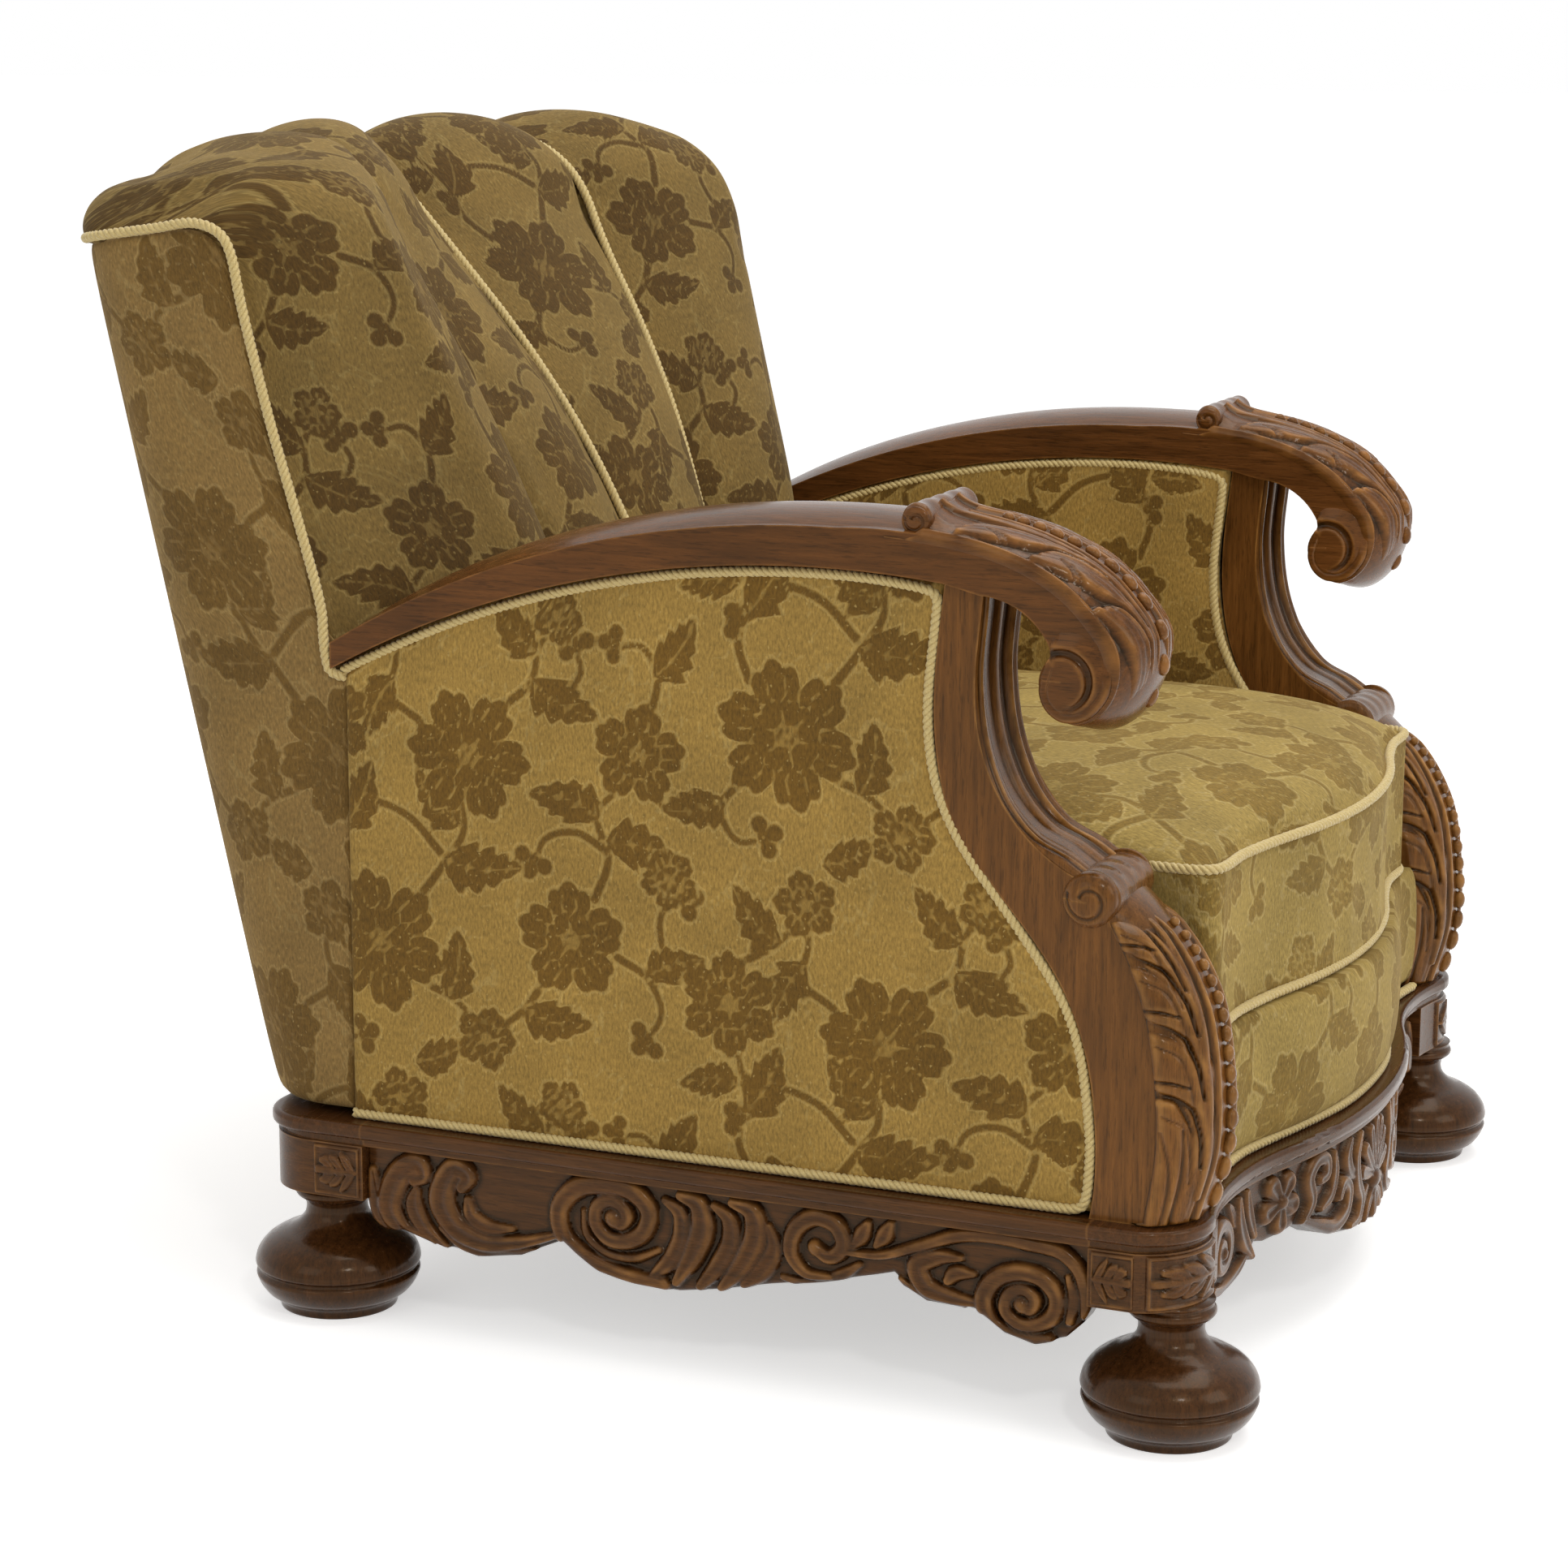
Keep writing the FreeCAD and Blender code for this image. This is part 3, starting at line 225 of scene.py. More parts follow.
def oak(name, grain_axis, dark, light, worn, polish):
    """Stained oak with its grain along an axis, paler on edges and carved ridges (wear, and on ridges also
    painted highlight), and darker in hollows (old wax and painted shade).
    """
    material, tree, shader = new_material(name)
    place = add(tree, "ShaderNodeTexCoord").outputs["Object"]
    stretch = [1.0, 1.0, 1.0]
    stretch["XYZ".index(grain_axis)] = 0.07
    along = add(tree, "ShaderNodeMapping", {"Vector": place, "Scale": stretch}).outputs[0]
    bands = add(tree, "ShaderNodeTexNoise", {"Vector": along, "Scale": 240.0, "Detail": 5.0, "Roughness": 0.6})
    pores = add(tree, "ShaderNodeTexNoise", {"Vector": along, "Scale": 820.0, "Detail": 2.0, "Roughness": 0.7})
    patch = add(tree, "ShaderNodeTexNoise", {"Vector": place, "Scale": 9.0, "Detail": 2.0})
    grain = add(tree, "ShaderNodeMapRange", {0: bands.outputs[0], 1: 0.15, 2: 0.85})
    tone = add(tree, "ShaderNodeMix", {0: grain.outputs[0], 6: colour(dark), 7: colour(light)}, data_type="RGBA")
    cloud = add(tree, "ShaderNodeMapRange", {0: patch.outputs[0], 1: 0.3, 2: 0.7, 3: 0.76, 4: 1.1})
    tone = times(tree, tone, cloud)
    pit = add(tree, "ShaderNodeMapRange", {0: pores.outputs[0], 1: 0.36, 2: 0.46, 3: 0.62, 4: 1.0})
    tone = times(tree, tone, pit)
    flat = add(tree, "ShaderNodeNewGeometry").outputs["Normal"]
    soft = add(tree, "ShaderNodeBevel", {"Radius": 0.0022}, samples=4).outputs[0]
    bend = add(tree, "ShaderNodeVectorMath", {0: flat, 1: soft}, operation="DOT_PRODUCT")
    edge = add(tree, "ShaderNodeMapRange", {0: bend.outputs["Value"], 1: 0.985, 2: 0.9, 3: 0.0, 4: 1.0})
    # Carved ridges, read from the mesh, are painted pale: partly wear, partly painted highlight. Edges found by the
    # bevel are rubbed pale.
    carved = add(tree, "ShaderNodeAttribute", attribute_name="wear_and_highlight").outputs["Fac"]
    rub_and_highlight = add(tree, "ShaderNodeMath", {0: edge.outputs[0], 1: carved}, operation="MAXIMUM")
    uneven = add(tree, "ShaderNodeTexNoise", {"Vector": place, "Scale": 60.0, "Detail": 3.0})
    uneven = add(tree, "ShaderNodeMapRange", {0: uneven.outputs[0], 1: 0.35, 2: 0.65, 3: 0.1, 4: 0.6})
    rub_and_highlight = add(tree, "ShaderNodeMath", {0: rub_and_highlight.outputs[0], 1: uneven.outputs[0]}, operation="MULTIPLY")
    tone = add(tree, "ShaderNodeMix", {0: rub_and_highlight.outputs[0], 6: tone.outputs[2], 7: colour(worn)}, data_type="RGBA")
    # Hollows, read from the mesh, are painted darker, down to 16 %: partly old wax, partly painted shade.
    depth = add(tree, "ShaderNodeAttribute", attribute_name="hollow").outputs["Fac"]
    shade = add(tree, "ShaderNodeMapRange", {0: depth, 1: 0.0, 2: 1.0, 3: 1.0, 4: 0.16})
    tone = times(tree, tone, shade)
    gloss = add(tree, "ShaderNodeMapRange", {0: bands.outputs[0], 1: 0.3, 2: 0.7, 3: polish, 4: polish + 0.14})
    bump = add(tree, "ShaderNodeBump", {"Height": pores.outputs[0], "Strength": 0.18, "Distance": 0.0006})
    tree.links.new(tone.outputs[2], shader.inputs["Base Color"])
    tree.links.new(gloss.outputs[0], shader.inputs["Roughness"])
    tree.links.new(bump.outputs[0], shader.inputs["Normal"])
    shader.inputs["IOR"].default_value = 1.5
    # Brown wax tints the reflection, and a thin skin of polish over it keeps white glints.
    shader.inputs["Specular IOR Level"].default_value = 0.26
    shader.inputs["Specular Tint"].default_value = colour("#EBC79C")
    shader.inputs["Coat Weight"].default_value = 0.0 if polish > 0.5 else 0.12
    shader.inputs["Coat Roughness"].default_value = 0.1
    return material


oak_along = oak("polished_oak_along", "Y", "#3A210D", "#774820", "#B57C3E", 0.17)
oak_across = oak("polished_oak_across", "X", "#2E190B", "#5F391B", "#A16E39", 0.17)
oak_base = oak("polished_oak_base", "Y", "#301A0B", "#643D1C", "#A5723B", 0.17)
oak_upright = oak("polished_oak_upright", "Z", "#44280F", "#875626", "#C08A48", 0.17)
oak_foot = oak("dark_polished_oak", "Z", "#221207", "#583417", "#905E32", 0.15)
beech = oak("raw_beech", "X", "#A98558", "#C9A878", "#D8BC90", 0.6)
print("oak", [m.name for m in (oak_along, oak_across, oak_base, oak_upright, oak_foot, beech)])

# %% [markdown]
# ## Cut-pile damask
# The cover is an upholstery damask: brown velvet flowers, leaves and curling stems stand on a gold-olive
# ribbed ground, with a fine pale line round them. A weaver draws such a cloth as one repeat, and each column of
# repeats drops by half. The drawing below does the same in millimetres and gives, for any spot of the
# cloth, how far it lies inside a motif and how far from the nearest vein. The mesh carries these
# distances, and the material cuts crisp edges from them.

# %% The drawing of one repeat
repeat_width, repeat_height = 300.0, 332.0
margin = 2.2


def arc_length(points):
    """Length run along a line of points."""
    return np.concatenate([[0.0], np.cumsum(np.linalg.norm(np.diff(points, axis=0), axis=1))])


def smooth_line(points, count):
    """A flowing line through the points, by cubic pieces that share their slopes."""
    p = np.asarray(points, float)
    run = arc_length(p)
    slope = np.gradient(p, run, axis=0)
    t = np.linspace(0.0, run[-1], count)
    k = np.clip(np.searchsorted(run, t, side="right") - 1, 0, len(p) - 2)
    h = (run[k + 1] - run[k])[:, None]
    s = ((t - run[k])[:, None]) / h
    return ((2 * s ** 3 - 3 * s ** 2 + 1) * p[k] + (s ** 3 - 2 * s ** 2 + s) * h * slope[k]
            + (3 * s ** 2 - 2 * s ** 3) * p[k + 1] + (s ** 3 - s ** 2) * h * slope[k + 1])


def flower(du, dv, radius, petals, turned):
    """Depth inside a double flower whose petals have three frills each, and distance to its drawn lines."""
    r = np.hypot(du, dv) + 1e-6
    spot = np.arctan2(dv, du) + turned
    turn = 2 * np.pi / petals
    off = (spot + turn / 2) % turn - turn / 2
    s = 2 * off / turn
    rim = radius * (0.6 + 0.29 * (1 - s * s) + 0.12 * np.abs(np.cos(1.5 * np.pi * s)))
    depth = 0.85 * (rim - r)
    gap = np.where(r > 0.5 * radius, r * (turn / 2 - np.abs(off)), 9.0)
    folds = np.where((r > 0.56 * radius) & (r < 0.8 * radius), np.abs(np.abs(r * off) - 0.13 * radius), 9.0)
    half_off = spot % turn - turn / 2
    ring = radius * (0.40 + 0.11 * np.abs(np.cos(1.5 * np.pi * 2 * half_off / turn)))
    lines = np.minimum(np.minimum(gap, folds), np.abs(r - ring))
    heart = np.where(r < 0.36 * radius, np.minimum(r * (turn / 2 - np.abs(half_off)), np.abs(r - 0.15 * radius)), 9.0)
    return depth, np.minimum(lines, heart)


def lobed_leaf(du, dv, length, turned, curl):
    """Depth inside an acanthus leaf of pointed, paired lobes on a bent rib, and distance to its veins."""
    x = du * math.cos(turned) + dv * math.sin(turned)
    y = dv * math.cos(turned) - du * math.sin(turned)
    t = np.clip(x / length, 0.0, 1.0)
    y = y - curl * length * t * t
    side = np.abs(y)
    saw = np.abs((4.0 * t - 0.9 * side / (0.3 * length)) % 1.0 - 0.35)
    wide = length * (0.34 * np.sin(np.pi * np.clip(t, 0.0, 1.0) ** 0.75) ** 0.8) * (1.08 - 0.75 * saw)
    depth = np.minimum(0.8 * (wide - side), np.minimum(x, length - x))
    vein = np.abs((4.0 * t - 0.9 * side / (0.3 * length) + 0.3) % 1.0 - 0.5) * 0.2 * length
    lines = np.minimum(side + 0.2, np.where(side < 0.6 * wide, vein + 0.4, 9.0))
    return depth, lines


def trefoil(du, dv, radius, turned):
    """A bud of three round leaves."""
    depth = 0.42 * radius - np.hypot(du, dv)
    for k in range(3):
        a = turned + (k - 1) * 1.5
        depth = np.maximum(depth, 0.62 * radius - np.hypot(du - radius * math.cos(a), dv - radius * math.sin(a)))
    return depth, np.hypot(du, dv) - 0.2


def stem(du, dv, half, *points):
    """A curling stem through points, thinning to its end."""
    line = smooth_line(points, 6 * len(points))
    low, high = line.min(0) - 9.0, line.max(0) + 9.0
    near = np.nonzero((du > low[0]) & (du < high[0]) & (dv > low[1]) & (dv < high[1]))[0]
    pu, pv = du[near], dv[near]
    depth = np.full(du.shape, -9.0)
    for k, (a, b) in enumerate(zip(line, line[1:])):
        way = b - a
        t = np.clip(((pu - a[0]) * way[0] + (pv - a[1]) * way[1]) / max(way @ way, 1e-9), 0.0, 1.0)
        far = np.hypot(pu - a[0] - t * way[0], pv - a[1] - t * way[1])
        depth[near] = np.maximum(depth[near], half * (1.0 - 0.4 * (k + t) / len(line)) - far)
    return depth, np.full(du.shape, 9.0)


motifs = [
    (stem, (70, 80), 140, (3.0, (28, 30), (50, 58), (66, 84), (62, 110))),
    (stem, (70, 80), 140, (2.8, (48, 66), (22, 90), (-12, 96), (-36, 72), (-32, 58))),
    (stem, (70, 80), 140, (2.8, (-26, 34), (-34, 58), (-28, 84), (-34, 118))),
    (stem, (215, 95), 120, (2.8, (-20, -30), (-36, -52), (-60, -70))),
    (stem, (215, 95), 130, (2.8, (18, 30), (28, 58), (20, 88), (38, 108))),
    (stem, (215, 95), 120, (2.6, (26, 64), (4, 74), (-20, 66), (-26, 50))),
    (stem, (215, 95), 120, (2.6, (34, -8), (56, -20), (66, -44), (56, -62))),
    (stem, (140, 215), 130, (2.8, (26, 34), (48, 54), (54, 78), (66, 92))),
    (stem, (140, 215), 120, (2.6, (46, 50), (70, 48), (84, 62), (80, 76))),
    (stem, (140, 215), 120, (2.6, (-36, 20), (-58, 36), (-54, 62), (-58, 84))),
    (stem, (30, 230), 120, (2.6, (14, 32), (34, 44), (52, 66))),
    (stem, (30, 230), 120, (2.6, (-30, 14), (-48, 34), (-46, 60), (-30, 66))),
    (stem, (265, 225), 120, (2.6, (10, 30), (14, 52), (2, 72), (-16, 70))),
    (stem, (70, 80), 130, (2.6, (-30, -30), (-46, -52), (-34, -72), (-16, -70))),
    (stem, (70, 80), 130, (2.6, (36, -26), (58, -36), (80, -58))),
    (trefoil, (38, 152), 26, (9, 2.4)),
    (trefoil, (188, 148), 26, (9, -2.0)),
    (trefoil, (271, 33), 26, (9, -2.4)),
    (trefoil, (221, 293), 26, (9, 2.1)),
    (trefoil, (-2, 297), 26, (9, 0.3)),
    (trefoil, (249, 297), 24, (8, 3.0)),
    (trefoil, (54, 12), 26, (9, 0.4)),
    (lobed_leaf, (120, 142), 76, (56, -0.35, 0.35)),
    (lobed_leaf, (132, 166), 70, (46, 2.6, -0.3)),
    (lobed_leaf, (42, 158), 72, (50, 0.75, 0.35)),
    (lobed_leaf, (36, 176), 62, (40, 2.9, 0.35)),
    (lobed_leaf, (242, 164), 72, (52, 0.15, -0.35)),
    (lobed_leaf, (236, 180), 72, (50, 2.5, 0.4)),
    (lobed_leaf, (188, 268), 72, (50, -0.75, 0.35)),
    (lobed_leaf, (192, 288), 66, (44, 2.7, -0.35)),
    (lobed_leaf, (84, 262), 66, (44, -2.4, 0.35)),
    (lobed_leaf, (66, 274), 66, (46, 2.7, -0.4)),
    (lobed_leaf, (180, 44), 70, (48, -0.5, 0.4)),
    (lobed_leaf, (272, 76), 64, (42, 0.7, -0.35)),
    (lobed_leaf, (122, 46), 66, (46, 1.05, 0.35)),
    (lobed_leaf, (26, 34), 66, (44, -2.6, -0.35)),
    (lobed_leaf, (277, 278), 66, (46, 0.6, 0.35)),
    (lobed_leaf, (96, 330), 60, (40, 0.1, 0.35)),
    (flower, (70, 80), 58, (50, 6, 0.3)),
    (flower, (215, 95), 48, (40, 5, 0.9)),
    (flower, (140, 215), 54, (46, 6, 0.1)),
    (flower, (265, 225), 42, (34, 5, 1.1)),
    (flower, (30, 230), 44, (36, 6, 0.5)),
    (flower, (150, 20), 30, (23, 5, 0.0)),
    (flower, (287, 143), 28, (21, 5, 0.4)),
    (flower, (84, 302), 30, (23, 5, 0.7)),
    (flower, (207, 312), 26, (19, 5, 0.2)),
]


def damask(u, v):
    """Depth inside the nearest motif and distance to its lines, in mm, for spots of cloth in mm."""
    depth = np.full(u.shape, -9.0)
    lines = np.full(u.shape, 9.0)
    for draw, (cu, cv), reach, sizes in motifs:
        column = np.round((u - cu) / repeat_width)
        du = u - cu - column * repeat_width
        dv = v - cv - column * repeat_height / 2
        dv = dv - np.round(dv / repeat_height) * repeat_height
        near = np.nonzero(np.hypot(du, dv) < reach)[0]
        inside, drawn = draw(du[near], dv[near], *sizes)
        below = np.minimum(depth[near], -(inside + margin))
        over = inside > below
        depth[near] = np.where(over, inside, below)
        lines[near] = np.where(over, drawn, lines[near])
    return depth, lines


print("motifs in a repeat", len(motifs))

# %% [markdown]
# The cloth's material: rows of loops about 1.6 mm apart make each motif's edge a little stepped. The
# pile is darker and has the soft bright rim of velvet seen from the side, which is what sheen is for.

# %% Damask material


def damask_cloth(name, ground, pile, line, drawn=1.0):
    """Woven ground with cut-pile motifs; drawn fades the motifs as painted sheen, where the pile catches the light low.
    """
    material, tree, shader = new_material(name)
    uv = add(tree, "ShaderNodeUVMap", uv_map="cloth").outputs[0]
    depth = add(tree, "ShaderNodeAttribute", attribute_name="pile").outputs["Fac"]
    vein = add(tree, "ShaderNodeAttribute", attribute_name="vein").outputs["Fac"]
    ghost = add(tree, "ShaderNodeAttribute", attribute_name="ghost").outputs["Fac"]
    ribs = add(tree, "ShaderNodeMapping", {"Vector": uv, "Scale": (620.0, 230.0, 1.0)}).outputs[0]
    rows = add(tree, "ShaderNodeTexNoise", {"Vector": ribs, "Scale": 1.0, "Detail": 2.0, "Roughness": 0.6})
    step = add(tree, "ShaderNodeMapRange", {0: rows.outputs[0], 1: 0.3, 2: 0.7, 3: -1.0, 4: 1.0}, clamp=False)
    cut = add(tree, "ShaderNodeMath", {0: step.outputs[0], 1: 0.8, 2: depth}, operation="MULTIPLY_ADD")
    mask = add(tree, "ShaderNodeMapRange", {0: cut.outputs[0], 1: -0.5, 2: 0.5})
    vein_cut = add(tree, "ShaderNodeMath", {0: step.outputs[0], 1: 0.35, 2: vein}, operation="MULTIPLY_ADD")
    vein_on = add(tree, "ShaderNodeMapRange", {0: vein_cut.outputs[0], 1: 0.75, 2: 1.5, 3: 0.75, 4: 0.0})
    rim = add(tree, "ShaderNodeMath", {0: cut.outputs[0], 1: 1.6}, operation="ADD")
    rim = add(tree, "ShaderNodeMath", {0: rim.outputs[0]}, operation="ABSOLUTE")
    rim_on = add(tree, "ShaderNodeMapRange", {0: rim.outputs[0], 1: 0.5, 2: 1.1, 3: 0.4, 4: 0.0})
    ghost_cut = add(tree, "ShaderNodeMath", {0: step.outputs[0], 1: 0.4, 2: ghost}, operation="MULTIPLY_ADD")
    ghost_on = add(tree, "ShaderNodeMapRange", {0: ghost_cut.outputs[0], 1: 0.5, 2: 1.2, 3: 0.4, 4: 0.0})
    drift = add(tree, "ShaderNodeTexNoise", {"Vector": uv, "Scale": 14.0, "Detail": 3.0})
    drift_on = add(tree, "ShaderNodeMapRange", {0: drift.outputs[0], 1: 0.3, 2: 0.7, 3: 0.84, 4: 1.14})
    weave = add(tree, "ShaderNodeMapRange", {0: rows.outputs[0], 1: 0.25, 2: 0.75, 3: 0.62, 4: 1.34})
    pale = add(tree, "ShaderNodeMath", {0: rim_on.outputs[0], 1: ghost_on.outputs[0]}, operation="MAXIMUM")
    base = add(tree, "ShaderNodeMix", {0: pale.outputs[0], 6: colour(ground), 7: colour(line)}, data_type="RGBA")
    shown = add(tree, "ShaderNodeMath", {0: vein_on.outputs[0], 1: 1.0}, operation="SUBTRACT")
    shown = add(tree, "ShaderNodeMath", {0: shown.outputs[0], 1: -drawn}, operation="MULTIPLY")
    shown = add(tree, "ShaderNodeMath", {0: shown.outputs[0], 1: mask.outputs[0]}, operation="MULTIPLY")
    tone = add(tree, "ShaderNodeMix", {0: shown.outputs[0], 6: base.outputs[2], 7: colour(pile)}, data_type="RGBA")
    tone = times(tree, tone, weave)
    tone = times(tree, tone, drift_on)
    fleck = add(tree, "ShaderNodeMapping", {"Vector": uv, "Scale": (420.0, 330.0, 1.0)}).outputs[0]
    fleck = add(tree, "ShaderNodeTexNoise", {"Vector": fleck, "Scale": 1.0, "Detail": 0.0})
    fleck_on = add(tree, "ShaderNodeMapRange", {0: fleck.outputs[0], 1: 0.74, 2: 0.82, 3: 0.0, 4: 0.6})
    tone = add(tree, "ShaderNodeMix", {0: fleck_on.outputs[0], 6: tone.outputs[2], 7: colour(line)},
               data_type="RGBA")
    height = add(tree, "ShaderNodeMath", {0: mask.outputs[0], 1: 0.6, 2: rows.outputs[0]}, operation="MULTIPLY_ADD")
    height = add(tree, "ShaderNodeMath", {0: vein_on.outputs[0], 1: -0.3, 2: height.outputs[0]},
                 operation="MULTIPLY_ADD")
    bump = add(tree, "ShaderNodeBump", {"Height": height.outputs[0], "Strength": 0.5, "Distance": 0.0009})
    tree.links.new(tone.outputs[2], shader.inputs["Base Color"])
    tree.links.new(bump.outputs[0], shader.inputs["Normal"])
    shader.inputs["Roughness"].default_value = 0.82
    shader.inputs["Sheen Weight"].default_value = 0.28
    shader.inputs["Sheen Roughness"].default_value = 0.45
    shader.inputs["Sheen Tint"].default_value = colour("#C2AC78")
    shader.inputs["Specular IOR Level"].default_value = 0.25
    return material


# One cloth covers the chair, in a copy for each part: the back's and the outside back's are painted darker as shade,
# and the seat's and the outside back's have faded motifs as painted sheen.
side_damask = damask_cloth("damask_on_the_sides", "#9D7D3D", "#6E501B", "#B99D5C")
back_damask_painted_shade = damask_cloth("damask_on_the_back_painted_shade", "#775F30", "#4F3812", "#96804B")
seat_damask_painted_sheen = damask_cloth("damask_on_the_seat_painted_sheen", "#9A8245", "#73581F", "#B8A26B", 0.75)
rear_damask_painted_shade_and_sheen = damask_cloth("damask_on_the_outside_back_painted_shade_and_sheen", "#85693A", "#624719", "#A28955", 0.8)
print("cloths", side_damask.name, back_damask_painted_shade.name, seat_damask_painted_sheen.name)

# %% [markdown]
# ## Panels of cloth
# Every cover is a grid of points, one for the face that shows and one behind it, closed all round into
# a thin pad. Each grid point also knows its place on the flat cloth, which becomes the UV map.

# %% Helpers for covers


def grid_faces(rows, columns, first=0, flip=False):
    index = np.arange(rows * columns).reshape(rows, columns) + first
    quads = np.stack([index[:-1, :-1], index[:-1, 1:], index[1:, 1:], index[1:, :-1]], -1).reshape(-1, 4)
    return quads[:, ::-1] if flip else quads


def pad_faces(rows, columns):
    """Faces of a closed pad between a front grid and a back grid."""
    count = rows * columns
    index = np.arange(count).reshape(rows, columns)
    rim = np.concatenate([index[0, :-1], index[:-1, -1], index[-1, :0:-1], index[:0:-1, 0]])
    following = np.roll(rim, -1)
    walls = np.stack([rim + count, following + count, following, rim], -1)
    return np.concatenate([grid_faces(rows, columns), grid_faces(rows, columns, count, True), walls])


def pad_points(face, back):
    """Points of a closed pad, the front grid's before the back grid's."""
    return np.concatenate([face.reshape(-1, 3), back.reshape(-1, 3)])


def mesh_object(name, points, faces, material, uv=None):
    """A shaded-smooth object from points in metres, with the cloth's flat places in metres as UV."""
    mesh = bpy.data.meshes.new(name)
    mesh.from_pydata(np.asarray(points).reshape(-1, 3).tolist(), [], np.asarray(faces).tolist())
    mesh.polygons.foreach_set("use_smooth", np.ones(len(mesh.polygons), bool))
    if uv is not None:
        layer = mesh.uv_layers.new(name="cloth")
        corner = np.empty(len(mesh.loops), np.int32)
        mesh.loops.foreach_get("vertex_index", corner)
        layer.data.foreach_set("uv", np.asarray(uv, np.float32).reshape(-1, 2)[corner].ravel())
    mesh.materials.append(material)
    made = bpy.data.objects.new(name, mesh)
    scene.collection.objects.link(made)
    return made


def baked(made):
    """Turns an object's modifiers into its plain mesh."""
    bpy.context.view_layer.update()
    plain = bpy.data.meshes.new_from_object(made.evaluated_get(bpy.context.evaluated_depsgraph_get()))
    made.modifiers.clear()
    made.data = plain
    return made


def point_outwards(made):
    """Recalculates the normals of a closed mesh so that its volume is positive."""
    mesh = made.data
    n = len(mesh.vertices)
    co = np.empty(n * 3)
    mesh.vertices.foreach_get("co", co)
    co = co.reshape(-1, 3)
    mesh.calc_loop_triangles()
    tri = np.empty(len(mesh.loop_triangles) * 3, np.int32)
    mesh.loop_triangles.foreach_get("vertices", tri)
    a, b, c = (co[tri.reshape(-1, 3)[:, k]] for k in range(3))
    if np.einsum("ij,ij->i", a, np.cross(b, c)).sum() < 0:
        mesh.flip_normals()
    return made


def weave(made, shift=(0.0, 0.0)):
    """Writes the drawing's distances onto the corners of a cover, from its place on the flat cloth."""
    mesh = made.data
    uv = np.empty(len(mesh.loops) * 2, np.float32)
    mesh.uv_layers["cloth"].data.foreach_get("uv", uv)
    u, v = uv.reshape(-1, 2).T.astype(float) * 1000.0
    depth, lines = damask(u + shift[0], v + shift[1])
    other = damask(u + shift[0] + 0.5 * repeat_width, v + shift[1] + 0.21 * repeat_height)[0]
    for name, values in (("pile", depth), ("vein", lines), ("ghost", np.abs(other))):
        layer = mesh.attributes.new(name, "FLOAT", "CORNER")
        layer.data.foreach_set("value", values.astype(np.float32))
    return made


def settle(made, nodes, body):
    """A finished piece gets outward normals, rides on its body and stands for its solids."""
    point_outwards(made)
    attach(made, body)
    if nodes:
        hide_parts(*nodes)
    return made


def arc_y(x, p0, p1, p2):
    """Y on the circle through three plan points, at x."""
    (ax, ay), (bx, by), (cx, cy) = p0, p1, p2
    d = 2 * (ax * (by - cy) + bx * (cy - ay) + cx * (ay - by))
    ux = ((ax ** 2 + ay ** 2) * (by - cy) + (bx ** 2 + by ** 2) * (cy - ay) + (cx ** 2 + cy ** 2) * (ay - by)) / d
    uy = ((ax ** 2 + ay ** 2) * (cx - bx) + (bx ** 2 + by ** 2) * (ax - cx) + (cx ** 2 + cy ** 2) * (bx - ax)) / d
    r = math.hypot(ax - ux, ay - uy)
    return uy + np.sign(by - uy) * np.sqrt(np.maximum(r * r - (x - ux) ** 2, 0.0))


def spread(points, count):
    """Points at even steps along a line of straight runs."""
    points = np.asarray(points, float)
    run = arc_length(points)
    steps = np.linspace(0.0, run[-1], count)
    return np.stack([np.interp(steps, run, points[:, k]) for k in range(points.shape[1])], -1)


print("helpers ready")

# %% [markdown]
# ## Covers of the arms
# The outside and inside of each arm are flat panels with a thin layer of wadding: full in the middle
# and drawn down at the corded edges. Four edge lines bound each panel, and a patch blends between them.

# %% Arm covers
post_edge = np.array([(-259, 146), (-263, 202), (-252, 275), (-214, 329), (-162, 393), (-147, 454), (-156, 548)], float)


def under_arm(y, drop):
    """Places below the arm's underside, at levels along the arm."""
    return [(p, float(arc_y(np.array(p), (-156.0, 548.0), (42.0, 544.0), (282.0, 462.0))) - drop) for p in y]


def arm_cover(side, face_x, back_x, bottom, swell):
    """Panel between the post, the arm's underside, the back seam and its bottom edge."""
    rows, columns = 132, 178
    top = np.array(under_arm(np.linspace(276.0, -155.0, columns), -0.6))
    front = smooth_line(np.concatenate([post_edge[:-1] - (0.6, 0.0), top[-1:]]), 400)
    front = spread(front[front[:, 1] >= bottom], rows)
    rear = spread([(276, bottom), tuple(top[0])], rows)
    low = spread([(276, bottom), tuple(front[0])], columns)
    s, t = np.meshgrid(np.linspace(0, 1, columns), np.linspace(0, 1, rows))
    s, t = s[..., None], t[..., None]
    flat = ((1 - s) * rear[:, None] + s * front[:, None] + (1 - t) * low[None] + t * top[None]
            - (1 - s) * (1 - t) * low[0] - s * (1 - t) * low[-1] - (1 - s) * t * top[0] - s * t * top[-1])
    s, t = s[..., 0], t[..., 0]
    edge = np.minimum(np.minimum(s, 1 - s) * 520.0, np.minimum(t, 1 - t) * 380.0)
    full = swell * (1 - np.exp(-edge / 16.0)) - 3.0 * np.exp(-edge / 3.0)
    outward = np.sign(face_x - back_x)
    face = np.stack([face_x + outward * full, flat[..., 0], flat[..., 1]], -1)
    back = np.stack([np.full(s.shape, float(back_x)), flat[..., 0], flat[..., 1]], -1)
    points = pad_points(face, back) * (-side, 1, 1)
    cloth = np.tile(np.stack([-flat[..., 0] * side, flat[..., 1]], -1).reshape(-1, 2) / 1000.0, (2, 1))
    return at(points), pad_faces(rows, columns), cloth


